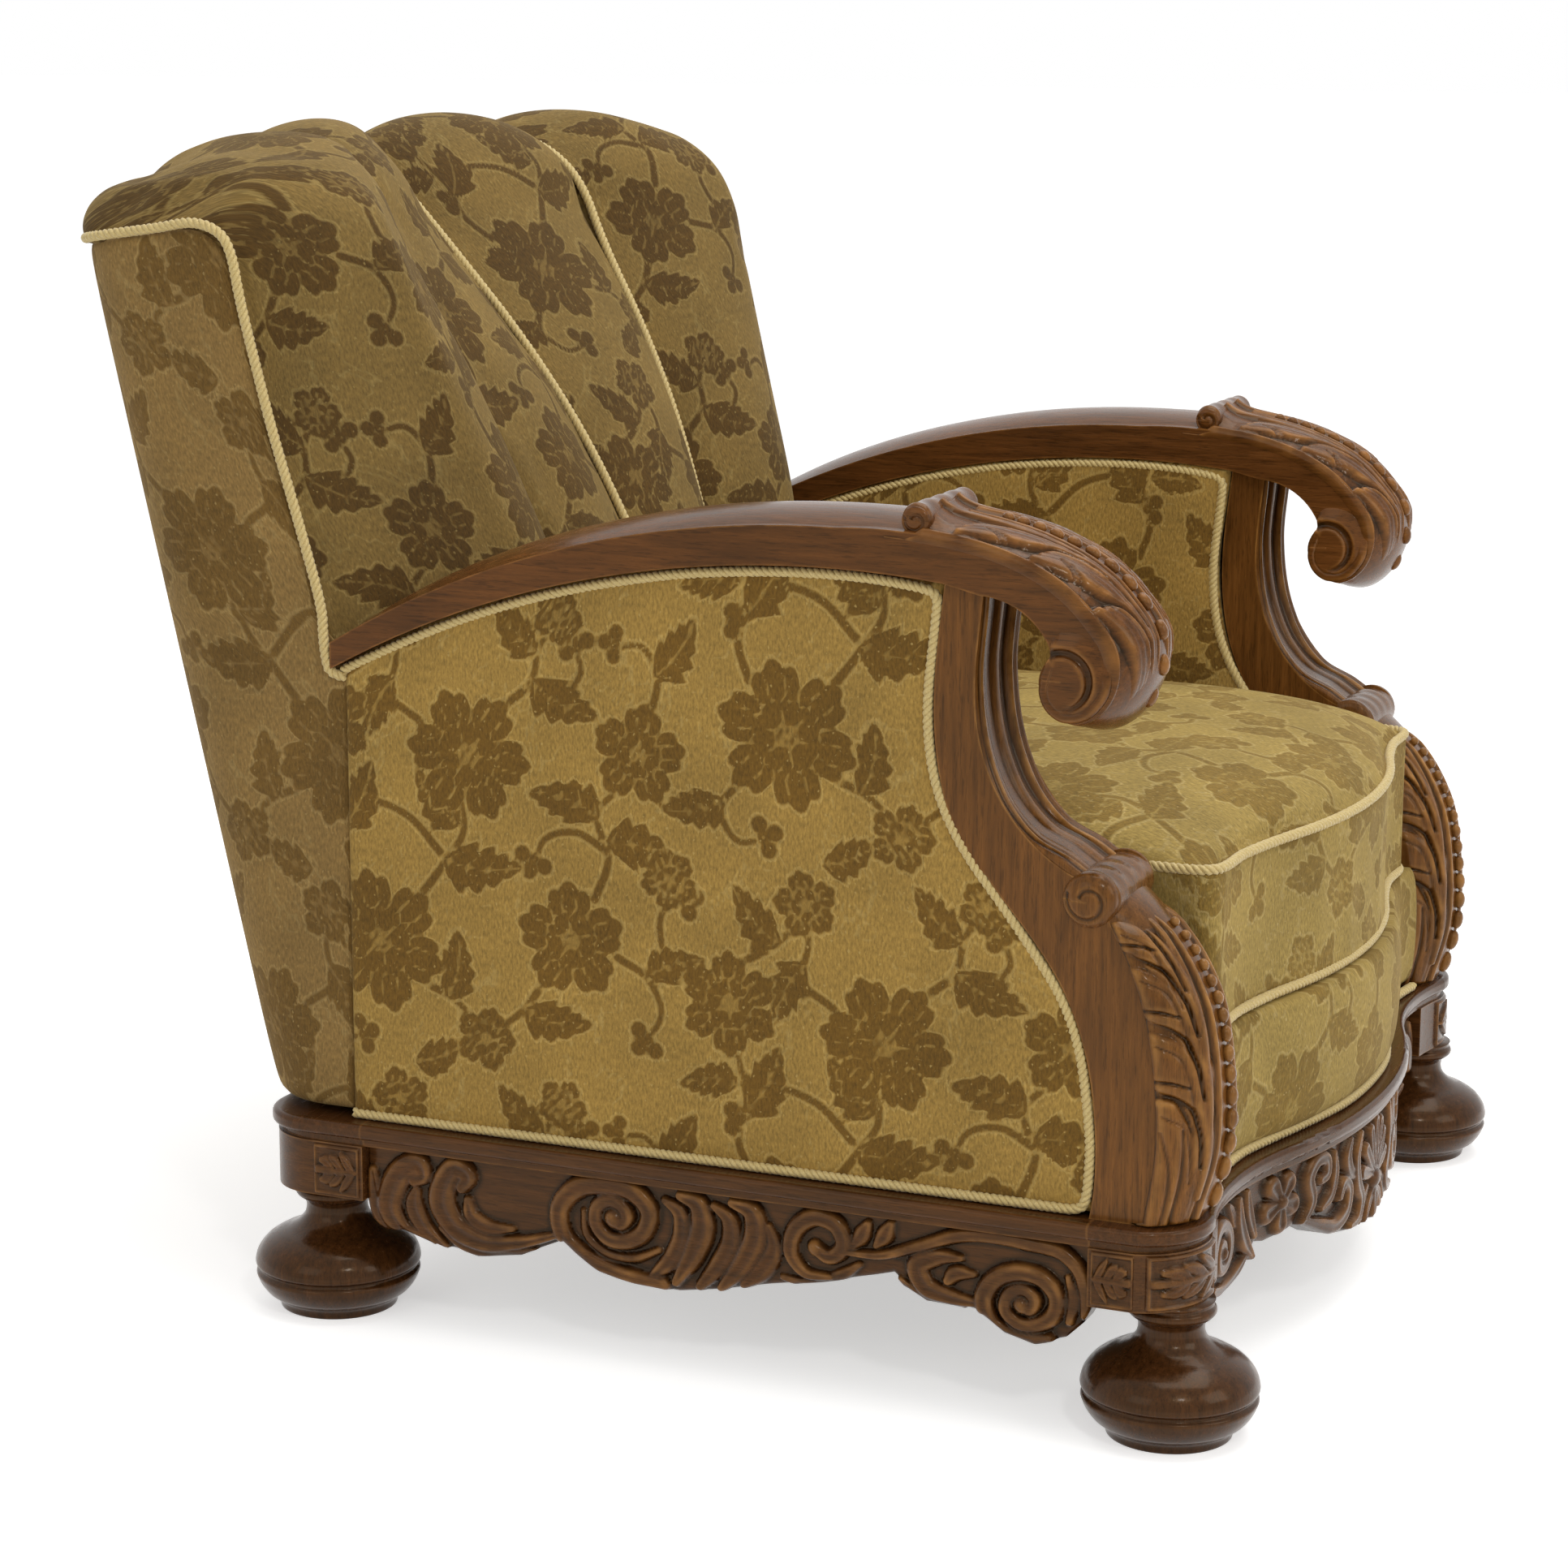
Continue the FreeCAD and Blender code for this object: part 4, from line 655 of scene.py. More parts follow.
for side, hand in ((1, "right"), (-1, "left")):
    for name, face_x, back_x, bottom, swell in (("outside_arm", 356.0, 346.0, 148.5, 4.0),
                                                ("inside_arm", 269.5, 290.0, 246.0, 3.5)):
        points, faces, cloth = arm_cover(side, face_x, back_x, bottom, swell)
        cover = mesh_object(hand + "_" + name + "_cover", points, faces, side_damask, cloth)
        weave(cover, (20.0 if name == "outside_arm" else 130.0, -30.0))
        settle(cover, [hand + "_" + name], "chair")
print("arm covers", len(faces), "faces each")

# %% [markdown]
# ## Outside back
# One cloth goes round the back from side seam to side seam, taut over the rear corners. It is a strip in
# plan, drawn at every level, and it leans back as it rises.

# %% Outside back
lean, back_half, back_deep, back_corner = 0.230, 355.5, 146.0, 60.0


def back_front_y(z):
    return 284.0 + lean * (np.asarray(z, float) - 460.0)


def seam_y(z):
    """Y of the side seam between the wing and the outside back, which leans back a little more than the back."""
    return back_front_y(z) + np.interp(z, [494, 640, 760], [0.0, 12.0, 13.0])


def outside_back_strip(z, along):
    """Plan points at a level: side, corner, rear, corner, side."""
    seam = np.interp(z, [146, 458, 486, 494, 640, 760], [276.6, 276.6, 282.4, seam_y(494), seam_y(640), seam_y(760)])
    rear = back_front_y(z) + back_deep
    a = np.linspace(0, np.pi / 2, 10)
    x = back_half - back_corner
    corner = np.stack([x + back_corner * np.cos(a), rear - back_corner + back_corner * np.sin(a)], -1)
    half = np.concatenate([[(back_half, seam)], corner, [(0.0, rear)]])
    return spread(np.concatenate([half, (half * (-1, 1))[-2::-1]]), along)


along, levels = 400, 196
back_low, back_top, top_round = 152.0, 745.0, 30.0
rise = np.linspace(0, 1, levels)
grid = np.empty((levels, along, 3))
top_y = outside_back_strip(back_top, along)[:, 1]
round_off = np.clip(top_round - (top_y - top_y.min()), 0.0, top_round)
top_line = 756.0 - 0.1194 * (top_y - 351.4) - top_round + np.sqrt(top_round ** 2 - round_off ** 2)
for k, share in enumerate(rise):
    level = back_low + share * (back_top - back_low)
    strip = outside_back_strip(level, along)
    z = back_low + share * (top_line - back_low)
    grid[k] = np.stack([-strip[:, 0], strip[:, 1] + lean * (z - level), z], -1)
edge = np.minimum(np.minimum(rise, 1 - rise)[:, None] * 590,
                  np.minimum(np.linspace(0, 1, along), np.linspace(1, 0, along))[None] * 1250)
out = np.stack([np.gradient(grid[..., 1], axis=1), -np.gradient(grid[..., 0], axis=1), 0 * edge], -1)
out /= np.linalg.norm(out, axis=-1, keepdims=True)
out *= np.sign(np.sum(out * (grid - (0, 380, 0)), -1).mean())
face = grid + out * (2.0 * (1 - np.exp(-edge / 18)) - 3.0 * np.exp(-edge / 3.0))[..., None]
inner = grid - out * 10.0
run = arc_length(grid[levels // 2])
cloth = np.stack(np.broadcast_arrays(run[None] / 1000.0, grid[..., 2] / 1000.0), -1).reshape(-1, 2)
outside_back = mesh_object("outside_back_cover", at(pad_points(face, inner)),
                           pad_faces(levels, along), rear_damask_painted_shade_and_sheen, np.tile(cloth, (2, 1)))
weave(outside_back, (60.0, 10.0))
settle(outside_back, ["outside_back"], "chair")
print("outside back runs", round(run[-1]), "mm round")

# %% [markdown]
# ## Padding that swells
# A stuffed cover is a flat cloth pressed outwards by what is inside it and held at its seams. Blender's
# Cloth does just that: the seams are pinned, gravity is off and a light pressure acts for twenty frames.
# A cap on how far any point may move keeps the pad in the space that its solid has. The result is a plain
# mesh again, and two subdivisions smooth it.

# %% Swell by cloth pressure


def swell(made, pinned, pressure, most):
    """Presses a closed pad outwards from its seams; most is the farthest that a point may move, in mm."""
    start = np.empty(len(made.data.vertices) * 3)
    made.data.vertices.foreach_get("co", start)
    seams = made.vertex_groups.new(name="seams")
    seams.add(np.nonzero(pinned)[0].tolist(), 1.0, "REPLACE")
    cloth = made.modifiers.new("swell", "CLOTH")
    cloth.settings.vertex_group_mass = "seams"
    cloth.settings.use_pressure = True
    cloth.settings.uniform_pressure_force = pressure
    cloth.settings.effector_weights.gravity = 0.0
    cloth.settings.quality = 6
    cloth.settings.tension_stiffness = 30.0
    cloth.settings.compression_stiffness = 30.0
    cloth.settings.bending_stiffness = 2.0
    cloth.settings.air_damping = 3.0
    cloth.collision_settings.use_collision = False
    for number in range(1, 21):
        scene.frame_set(number)
    baked(made)
    made.vertex_groups.clear()
    scene.frame_set(1)
    moved = np.empty(len(start))
    made.data.vertices.foreach_get("co", moved)
    step = (moved - start).reshape(-1, 3)
    far = np.linalg.norm(step, axis=1, keepdims=True)
    step *= np.minimum(1.0, most / 1000.0 / np.maximum(far, 1e-9))
    made.data.vertices.foreach_set("co", (start.reshape(-1, 3) + step).ravel())
    made.data.update()
    print(made.name, "swelled by up to", round(1000 * min(far.max(), most / 1000.0), 1), "mm")
    finer = made.modifiers.new("finer", "SUBSURF")
    finer.levels = finer.render_levels = 2
    return baked(made)


# %% [markdown]
# ## Channelled back
# The inside back has four channels, stuffed one by one: two in the middle and a wide wing at each side
# that comes forward and over the arm. Guide lines run up each channel and over the top to the rear seam,
# and the cloth spans them. The seam between two channels lies deep, and the crest stands proud.

# %% Channels of the back
waist_level, channel_low = 521.0, 262.0


def centre_seam(z):
    up = z - waist_level
    return np.array([0.0, max(237.0 + 0.47 * up, 152.0 + 0.1 * z, 187.0) + 0.00132 * max(up, 0.0) ** 2, z])


def side_seam(z):
    up = z - waist_level
    return np.array([141.0 + 0.105 * up, max(241.0 + 0.30 * up, 190.0) + 0.0009 * max(up, 0.0) ** 2, z])


def wing_crest(z):
    up = z - waist_level
    return np.array([219.0 + 0.286 * max(up, 0.0), max(194.0 + (0.34 if up > 0 else 0.12) * up, 175.0), z])


front_levels = (channel_low, 350.0, 400.0, 460.0, waist_level, 575.0, 625.0, 670.0, 710.0, 740.0)
centre_line = [centre_seam(z) for z in front_levels] + [
    np.array(p) for p in ((0, 421, 762), (0, 444, 782), (0, 464, 788), (0, 481, 780), (0, 490, 764), (0, 493, 744))]
side_line = [side_seam(z) for z in front_levels] + [
    np.array(p) for p in ((167, 360, 770), (170, 392, 791), (171, 428, 795), (171, 464, 787), (170, 486, 768),
                          (170, 493, 744))]
crest_line = [wing_crest(z) for z in front_levels] + [
    np.array(p) for p in ((285, 287, 772), (283, 318, 795), (279, 368, 806), (272, 428, 802), (266, 475, 778),
                          (262, 493, 744))]
seam_line = [np.array([353.5, seam_y(z) - 2.0, z]) for z in (262, 350, 400, 460, 521, 575, 625, 665, 698, 720)] + [
    np.array(p) for p in ((353, 363, 738), (353, 377, 749), (353.5, 400, 747), (354, 436, 742), (340, 478, 738),
                          (299, 494, 736))]
centre_line, side_line, crest_line, seam_line = (np.array(k) for k in
                                                 (centre_line, side_line, crest_line, seam_line))
crown_way = np.array([(0, -0.7, 0.0)] * 2 + [(0, -1, 0.0)] * 7 + [
    (0, -0.9, 0.35), (0, -0.7, 0.7), (0, -0.4, 0.95), (0, 0, 1.0), (0, 0.45, 0.85), (0, 0.9, 0.4), (0, 0.3, 0.0)])


def between(a, b, share, proud):
    return a + share * (b - a) + proud * crown_way


inner_guides = [centre_line, between(centre_line, side_line, 0.12, 12.0), between(centre_line, side_line, 0.3, 22.0),
                between(centre_line, side_line, 0.5, 26.0), between(centre_line, side_line, 0.7, 23.0),
                between(centre_line, side_line, 0.88, 13.0), side_line]
wing_guides = [side_line, between(side_line, crest_line, 0.18, 10.0), between(side_line, crest_line, 0.5, 17.0),
               between(side_line, crest_line, 0.78, 9.0), crest_line]
flank = [between(crest_line, seam_line, s, p) for s, p in ((0.3, 14.0), (0.65, 21.0), (0.9, 11.0))]
wing_guides += flank + [seam_line]


def channel(name, guides, rows, columns, side):
    """A stuffed channel spanned over guide lines, closed behind inside the back."""
    lines = np.array([smooth_line(g, rows) for g in guides])
    face = np.stack([smooth_line(lines[:, k], columns) for k in range(rows)])
    core_z = np.minimum(face[..., 2], 735.0)
    core = np.stack([face[..., 0] * 0.97, np.minimum(back_front_y(core_z) + 62.0, 440.0), core_z], -1)
    rear = face + 0.35 * (core - face)
    points = pad_points(face, rear) * (-side, 1, 1)
    wide = np.array([arc_length(face[k]) for k in range(rows)])
    tall = np.array([arc_length(face[:, k]) for k in range(columns)]).T
    cloth = np.stack([wide * -side, tall + channel_low], -1).reshape(-1, 2) / 1000.0
    made = mesh_object(name, at(points), pad_faces(rows, columns), back_damask_painted_shade, np.tile(cloth, (2, 1)))
    pinned = np.ones((2, rows, columns), bool)
    pinned[0, 1:-1, 1:-1] = False
    return made, pinned.ravel()


for side, hand in ((1, "right"), (-1, "left")):
    for kind, guides, columns, offset in (("inner_channel", inner_guides, 17, 0.0),
                                          ("outer_channel", wing_guides, 33, 158.0)):
        cover, pinned = channel(hand + "_" + kind + "_cover", guides, 72, columns, side)
        swell(cover, pinned, 4.0, 6.0)
        weave(cover, (-offset * side, 0.0))
        settle(cover, [hand + "_" + kind], "chair")
print("channels", len(cover.data.polygons), "faces in a wing")

# %% [markdown]
# ## Seat cushion
# The loose cushion is a box cushion: a top and a bottom panel joined by a border, a cord in each seam, a
# serpentine front and a high crown. Its mesh is one closed box of panels, and each panel has its own
# place on the cloth.

# %% Outline of the seat's front


def front_y(x, inset, hollow_x=237.0):
    """The serpentine front, set back by inset: eared corner, hollow and bow."""
    x = np.abs(np.asarray(x, float))
    ear = arc_y(x, (371 - inset, -296.0), (355.5 - inset, -320.7 + inset), (318 - inset, -331.0 + inset))
    hollow = arc_y(x, (318 - inset, -331.0 + inset), (hollow_x, -323.0 + inset), (160.0, -338.0 + inset))
    bow = arc_y(x, (-160.0, -338.0 + inset), (0.0, -365.0 + inset), (160.0, -338.0 + inset))
    return np.where(x > 318 - inset, ear, np.where(x > 160.0, hollow, bow))


def cushion_front_y(x):
    x = np.abs(x)
    hollow = arc_y(x, (262.0, -310.0), (204.0, -310.5), (160.0, -318.0))
    bow = arc_y(x, (-160.0, -318.0), (0.0, -345.0), (160.0, -318.0))
    return np.where(x > 160.0, hollow, bow)


print("front of the seat at the middle", float(cushion_front_y(np.array(0.0))))

# %% Cushion mesh
across, deep, tall = 55, 51, 12
half_seat, seat_rear, seat_low, seat_edge, crown = 261.0, 162.0, 245.6, 354.5, 55.0
crowd = 0.93
xs = half_seat * np.sin(np.linspace(-1, 1, across) * np.pi / 2 * crowd) / math.sin(np.pi / 2 * crowd)
ys = 0.5 - 0.5 * np.sin(np.linspace(1, -1, deep) * np.pi / 2 * crowd) / math.sin(np.pi / 2 * crowd)
plan_x = np.tile(xs, (deep, 1))
plan_y = seat_rear + ys[:, None] * (cushion_front_y(xs) - seat_rear)[None]
sx, sy = plan_x / half_seat, 2 * ys[:, None] - 1 + 0 * plan_x
corner = 18.0
round_off = np.clip(corner - (plan_y - cushion_front_y(xs)[None]), 0.0, corner)
plan_x = plan_x * (1 - (corner - np.sqrt(corner ** 2 - round_off ** 2)) / half_seat)
dome = crown * ((1 - np.abs(sx) ** 3.2) * (1 - np.abs(sy) ** 3.4)) ** 0.42
top = np.stack([plan_x, plan_y, seat_edge + dome], -1)
bottom = np.stack([plan_x, plan_y, np.full(plan_x.shape, seat_low)], -1)
index = np.arange(deep * across).reshape(deep, across)
ring = np.concatenate([index[0, :-1], index[:-1, -1], index[-1, :0:-1], index[:0:-1, 0]])
points = [top.reshape(-1, 3), bottom.reshape(-1, 3)]
count = deep * across
rim_top, rim_low = top.reshape(-1, 3)[ring], bottom.reshape(-1, 3)[ring]
for k in range(1, tall):
    points.append(rim_top + (rim_low - rim_top) * k / tall)
rings = [ring] + [2 * count + k * len(ring) + np.arange(len(ring)) for k in range(tall - 1)] + [ring + count]
walls = np.concatenate([np.stack([b, np.roll(b, -1), np.roll(a, -1), a], -1) for a, b in zip(rings, rings[1:])])
faces = np.concatenate([grid_faces(deep, across), grid_faces(deep, across, count, True), walls])
cushion = mesh_object("seat_cushion_cover", at(np.concatenate(points)), faces, seat_damask_painted_sheen,
                      np.zeros((2 * count + (tall - 1) * len(ring), 2)))
print("cushion panels", len(faces), "faces before they swell")

# %% Cushion cloth, swelling and seams
flat = np.empty((len(faces), 4, 2))
panel = (deep - 1) * (across - 1)
long_way = np.array([arc_length(top[:, k]) for k in range(across)]).T
on_top = np.stack([plan_x, -long_way], -1).reshape(-1, 2)
flat[:panel] = on_top[faces[:panel]]
flat[panel:2 * panel] = on_top[faces[panel:2 * panel] - count]
run = arc_length(np.concatenate([rim_top, rim_top[:1]]))
border_deep = 110.0
for k in range(tall):
    rows = slice(2 * panel + k * len(ring), 2 * panel + (k + 1) * len(ring))
    upper, lower = -k * border_deep / tall, -(k + 1) * border_deep / tall
    flat[rows] = np.stack([np.stack([run[:-1], np.full(len(ring), lower)], -1),
                           np.stack([run[1:], np.full(len(ring), lower)], -1),
                           np.stack([run[1:], np.full(len(ring), upper)], -1),
                           np.stack([run[:-1], np.full(len(ring), upper)], -1)], 1)
cushion.data.uv_layers["cloth"].data.foreach_set("uv", (flat.reshape(-1) / 1000.0).astype(np.float32))
pinned = np.zeros(len(cushion.data.vertices), bool)
pinned[count:2 * count] = True
pinned[ring] = True
swell(cushion, pinned, 4.0, 7.0)
weave(cushion, (40.0, 70.0))
settle(cushion, ["seat_cushion"], "cushion")
print("cushion faces", len(cushion.data.polygons))

# %% [markdown]
# ## Seat border and deck
# Under the cushion a border of the same cloth follows the serpentine front, and behind it lies the deck,
# a plain lining over the springs that shows only when the cushion is lifted out.

# %% Seat border
columns, rows = 190, 32
border_low, border_tall = 153.0, 91.4
x = np.linspace(-273.5, 273.5, columns)
plan = np.stack([x, front_y(x, 13.0)], -1)
rise = np.linspace(0, 1, rows)
edge = np.minimum(rise, 1 - rise)[:, None] * 91.0 + 0 * x[None]
full = 5.0 * (1 - np.exp(-edge / 14.0)) - 2.0 * np.exp(-edge / 2.5)
face = np.stack(np.broadcast_arrays(x[None], plan[None, :, 1] - full, border_low + border_tall * rise[:, None]), -1)
back = np.stack(np.broadcast_arrays(x[None], -269.0 + 0 * full, border_low + border_tall * rise[:, None]), -1)
run = arc_length(plan)
cloth = np.stack(np.broadcast_arrays(run[None], border_tall * rise[:, None]), -1).reshape(-1, 2) / 1000.0
border = mesh_object("seat_border_cover", at(pad_points(face, back)),
                     pad_faces(rows, columns), seat_damask_painted_sheen, np.tile(cloth, (2, 1)))
weave(border, (10.0, 200.0))
settle(border, ["seat_border"], "chair")
print("border runs", round(run[-1]), "mm")

# %% Deck lining
lining = thread_cloth("cotton_deck_lining", 700.0, "#7E734A", "#A3976A", 0.9, (0.4, 0.0006))
deck_low, deck_high = (np.array(c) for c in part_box("seat_deck"))
columns, rows = 60, 50
sx, sy = np.meshgrid(np.linspace(-1, 1, columns), np.linspace(-1, 1, rows))
middle, half = (deck_low + deck_high) / 2, (deck_high - deck_low) / 2
sag = 0.004 * (1 - np.abs(sx) ** 2.5) * (1 - np.abs(sy) ** 2.5) + 0.0012 * np.cos(sx * 9) * np.cos(sy * 8)
face = np.stack([middle[0] + half[0] * sx, middle[1] + half[1] * sy, deck_high[2] - 0.0004 - sag], -1)
back = np.stack([face[..., 0], face[..., 1], np.full(sx.shape, deck_low[2] + 0.0003)], -1)
deck = mesh_object("seat_deck_lining", pad_points(face, back),
                   pad_faces(rows, columns), lining)
settle(deck, ["seat_deck"], "chair")
print("deck", np.round(2 * half, 3).tolist())

# %% [markdown]
# Under the seat a piece of hessian is tacked to the rails to keep dust in. It is stretched by hand, so it sags a
# little in the middle. A thin grid that keeps the size of the cut is enough.

# %% Dust cover
# Hessian is a coarse jute weave, dull brown and flecked.
hessian = thread_cloth("dust_cover_hessian", 380.0, "#4E4230", "#7A6A4C", 0.95)
cover_low, cover_high = (np.array(c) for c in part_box("dust_cover"))
middle, half = (cover_low + cover_high) / 2, (cover_high - cover_low) / 2
sag = 0.006 * (1 - sx ** 2) * (1 - sy ** 2)
face = np.stack([middle[0] + half[0] * sx, middle[1] + half[1] * sy, cover_high[2] - 0.0002 - sag], -1)
back = face - np.array([0, 0, 0.0008])
dust = mesh_object("dust_cover_sheet", pad_points(face, back),
                   pad_faces(rows, columns), hessian)
settle(dust, ["dust_cover"], "chair")
print("dust cover", np.round(2 * half, 3).tolist())

# %% [markdown]
# ## Twisted cord
# Every seam is finished with a gold cord of three strands. Geometry Nodes lay the strands: the seam's line
# is cut into short steps, each strand winds round it once per pitch, and a small round profile gives the
# strand its body. The seam's line is a smooth NURBS curve through the route that the solids follow.

# %% Cord material
gold_cord = thread_cloth("viscose_cord", 900.0, "#A98E4E", "#E0CA8C", 0.55, sheen=0.25)

# %% Cord strands by Geometry Nodes
cord_tree = bpy.data.node_groups.new("twisted_cord", "GeometryNodeTree")
sockets = cord_tree.interface
sockets.new_socket("Geometry", in_out="INPUT", socket_type="NodeSocketGeometry")
for label, value in (("Pitch", 0.0135), ("Strand radius", 0.0019), ("Step", 0.0018)):
    sockets.new_socket(label, in_out="INPUT", socket_type="NodeSocketFloat").default_value = value
sockets.new_socket("Geometry", in_out="OUTPUT", socket_type="NodeSocketGeometry")
given = add(cord_tree, "NodeGroupInput").outputs
cut_up = add(cord_tree, "GeometryNodeResampleCurve", {"Curve": given["Geometry"], "Length": given["Step"]},
             mode="LENGTH")
length = add(cord_tree, "GeometryNodeSplineParameter").outputs["Length"]
normal = add(cord_tree, "GeometryNodeInputNormal").outputs[0]
tangent = add(cord_tree, "GeometryNodeInputTangent").outputs[0]
sideways = add(cord_tree, "ShaderNodeVectorMath", {0: tangent, 1: normal}, operation="CROSS_PRODUCT").outputs[0]
turns = add(cord_tree, "ShaderNodeMath", {0: length, 1: given["Pitch"]}, operation="DIVIDE").outputs[0]
profile = add(cord_tree, "GeometryNodeCurvePrimitiveCircle", {"Resolution": 6, "Radius": given["Strand radius"]})
together = add(cord_tree, "GeometryNodeJoinGeometry")
for strand in range(3):
    angle = add(cord_tree, "ShaderNodeMath", {0: turns, 1: 2 * math.pi, 2: strand * 2 * math.pi / 3},
                operation="MULTIPLY_ADD").outputs[0]
    parts = []
    for operation, way in (("COSINE", normal), ("SINE", sideways)):
        share = add(cord_tree, "ShaderNodeMath", {0: angle}, operation=operation).outputs[0]
        reach = add(cord_tree, "ShaderNodeMath", {0: share, 1: given["Strand radius"]}, operation="MULTIPLY").outputs[0]
        parts.append(add(cord_tree, "ShaderNodeVectorMath", {0: way, "Scale": reach}, operation="SCALE").outputs[0])
    offset = add(cord_tree, "ShaderNodeVectorMath", {0: parts[0], 1: parts[1]}, operation="ADD").outputs[0]
    moved = add(cord_tree, "GeometryNodeSetPosition", {"Geometry": cut_up.outputs[0], "Offset": offset})
    body = add(cord_tree, "GeometryNodeCurveToMesh",
               {"Curve": moved.outputs[0], "Profile Curve": profile.outputs[0], "Fill Caps": True})
    cord_tree.links.new(body.outputs[0], together.inputs[0])
real = add(cord_tree, "GeometryNodeRealizeInstances", {0: together.outputs[0]})
dressed = add(cord_tree, "GeometryNodeSetMaterial", {"Geometry": real.outputs[0], "Material": gold_cord})
add(cord_tree, "NodeGroupOutput", {0: dressed.outputs[0]})
print("cord tree", len(cord_tree.nodes), "nodes")

# %% Laying a cord


def lay_cords(name, routes, nodes, body):
    """Twisted cords along routes of drawing points, as one mesh that stands for the cord solids."""
    curve = bpy.data.curves.new(name, "CURVE")
    curve.dimensions = "3D"
    for route in routes:
        spline = curve.splines.new("NURBS")
        places = at(route)
        spline.points.add(len(places) - 1)
        for point, place in zip(spline.points, places):
            point.co = (*place, 1.0)
        spline.order_u = 3
        spline.use_endpoint_u = True
        spline.resolution_u = 16
    route_object = bpy.data.objects.new(name + "_route", curve)
    scene.collection.objects.link(route_object)
    twist = route_object.modifiers.new("twist", "NODES")
    twist.node_group = cord_tree
    for item in cord_tree.interface.items_tree:
        if item.item_type == "SOCKET" and item.in_out == "INPUT" and item.name != "Geometry":
            twist[item.identifier] = item.default_value
    bpy.context.view_layer.update()
    mesh = bpy.data.meshes.new_from_object(route_object.evaluated_get(bpy.context.evaluated_depsgraph_get()))
    bpy.data.objects.remove(route_object)
    mesh.name = name
    mesh.polygons.foreach_set("use_smooth", np.ones(len(mesh.polygons), bool))
    cord = bpy.data.objects.new(name, mesh)
    scene.collection.objects.link(cord)
    settle(cord, nodes, body)
    return cord


def mirrored(route):
    return [(-x, y, z) for x, y, z in route]


beside_post = [(y + 4.4, z) for y, z in post_edge[1:-1]]
below_arm = [(-150.5, 528.0), (-151.0, 540.0), (-140.0, 543.5)] + under_arm((-100, -53, 0, 42, 100, 159, 220, 276), 4.6)
outside_route = [(275, 150), (180, 150), (-230, 150), (-252, 150), (-256.5, 157), (-258, 175)] + beside_post + below_arm
inside_route = [(-251, 248.6), (-246.5, 275)] + beside_post[2:] + below_arm
for side, hand in hands:
    lay_cords(hand + "_outside_arm_cord", [[(side * 356.0, y, z) for y, z in outside_route]],
              [hand + "_outside_arm_piping"], "chair")
    cord = lay_cords(hand + "_inside_arm_cord", [[(side * 270.5, y, z) for y, z in inside_route]],
                     [hand + "_inside_arm_piping"], "chair")

back_edge = [(-356.0, 275.0, 456.0), (-361.0, 284.0, 458.0), (-362.5, 286.0, 470.0), (-361.0, 288.5, 486.0),
             (-357.0, 291.0, 502.0)]
back_edge += [(-355.5, seam_y(z) - 3.6, z) for z in (560, 620, 680, 712)]
back_edge += [(-355.5, 355, 736), (-355.5, 363, 751), (-355.5, 384, 757.5), (-355.5, 410, 752.5), (-355.5, 436, 749),
              (-355, 462, 745.5), (-337, 485, 742), (-296, 494, 741), (-240, 494, 741)]
back_edge += mirrored(back_edge[::-1])
lay_cords("back_edge_cord", [back_edge], ["back_edge_piping"], "chair")
seam_levels = (362.0, 425.0, 509.0, 585.0, 654.0, 715.0)
centre_route = [tuple(centre_seam(z) - (0, 2.6, 0)) for z in seam_levels] + [
    (0, 419, 762), (0, 443, 785), (0, 466, 791), (0, 488, 780), (0, 495, 748)]
side_route = [tuple(side_seam(z) * (-1, 1, 1) - (0, 2.6, 0)) for z in seam_levels] + [
    (-166, 352, 766), (-170, 390, 794), (-171, 430, 798), (-171, 466, 790), (-170, 488, 770), (-170, 495, 746)]
lay_cords("channel_cords", [centre_route, side_route, mirrored(side_route)], ["channel_piping"], "chair")

seat_half = [(-259.5, 150), (-259.5, 0), (-259.5, -276), (-259, -296), (-253, -306), (-240, -309), (-222, -309),
             (-204, -309), (-176, -314), (-150, -319.5), (-100, -333), (-50, -341)]
seat_route = seat_half + [(0, -344)] + [(-x, y) for x, y in reversed(seat_half)]
for name, z in (("cushion_top_piping", 355.5), ("cushion_bottom_piping", 249.2)):
    lay_cords(name.replace("piping", "cord"), [[(x, y, z) for x, y in seat_route]], [name], "cushion")
border_half = [(-272, -316), (-237, -311), (-205, -311.5), (-180, -316), (-105, -337), (-45, -350)]
border_route = [(x, y, 149.9) for x, y in border_half + [(-x, y) for x, y in reversed(border_half)]]
lay_cords("border_cord", [border_route], ["border_piping"], "chair")
print("cord faces on an arm", len(cord.data.polygons))

# %% [markdown]
# ## Carving as height
# A carver works on a flat ground and leaves each leaf standing. A stroke is a flowing line with a half width
# at each point, a height and a hollow along its middle, like the cut of a gouge. Many strokes, the highest
# winning, make acanthus leaves and volutes. Ridges are painted pale, partly as wear and partly as painted
# highlight, and hollows dark, partly as old wax and partly as painted shade, so the mesh also carries how far a
# point stands above or below its surroundings.

# %% Helpers for carving


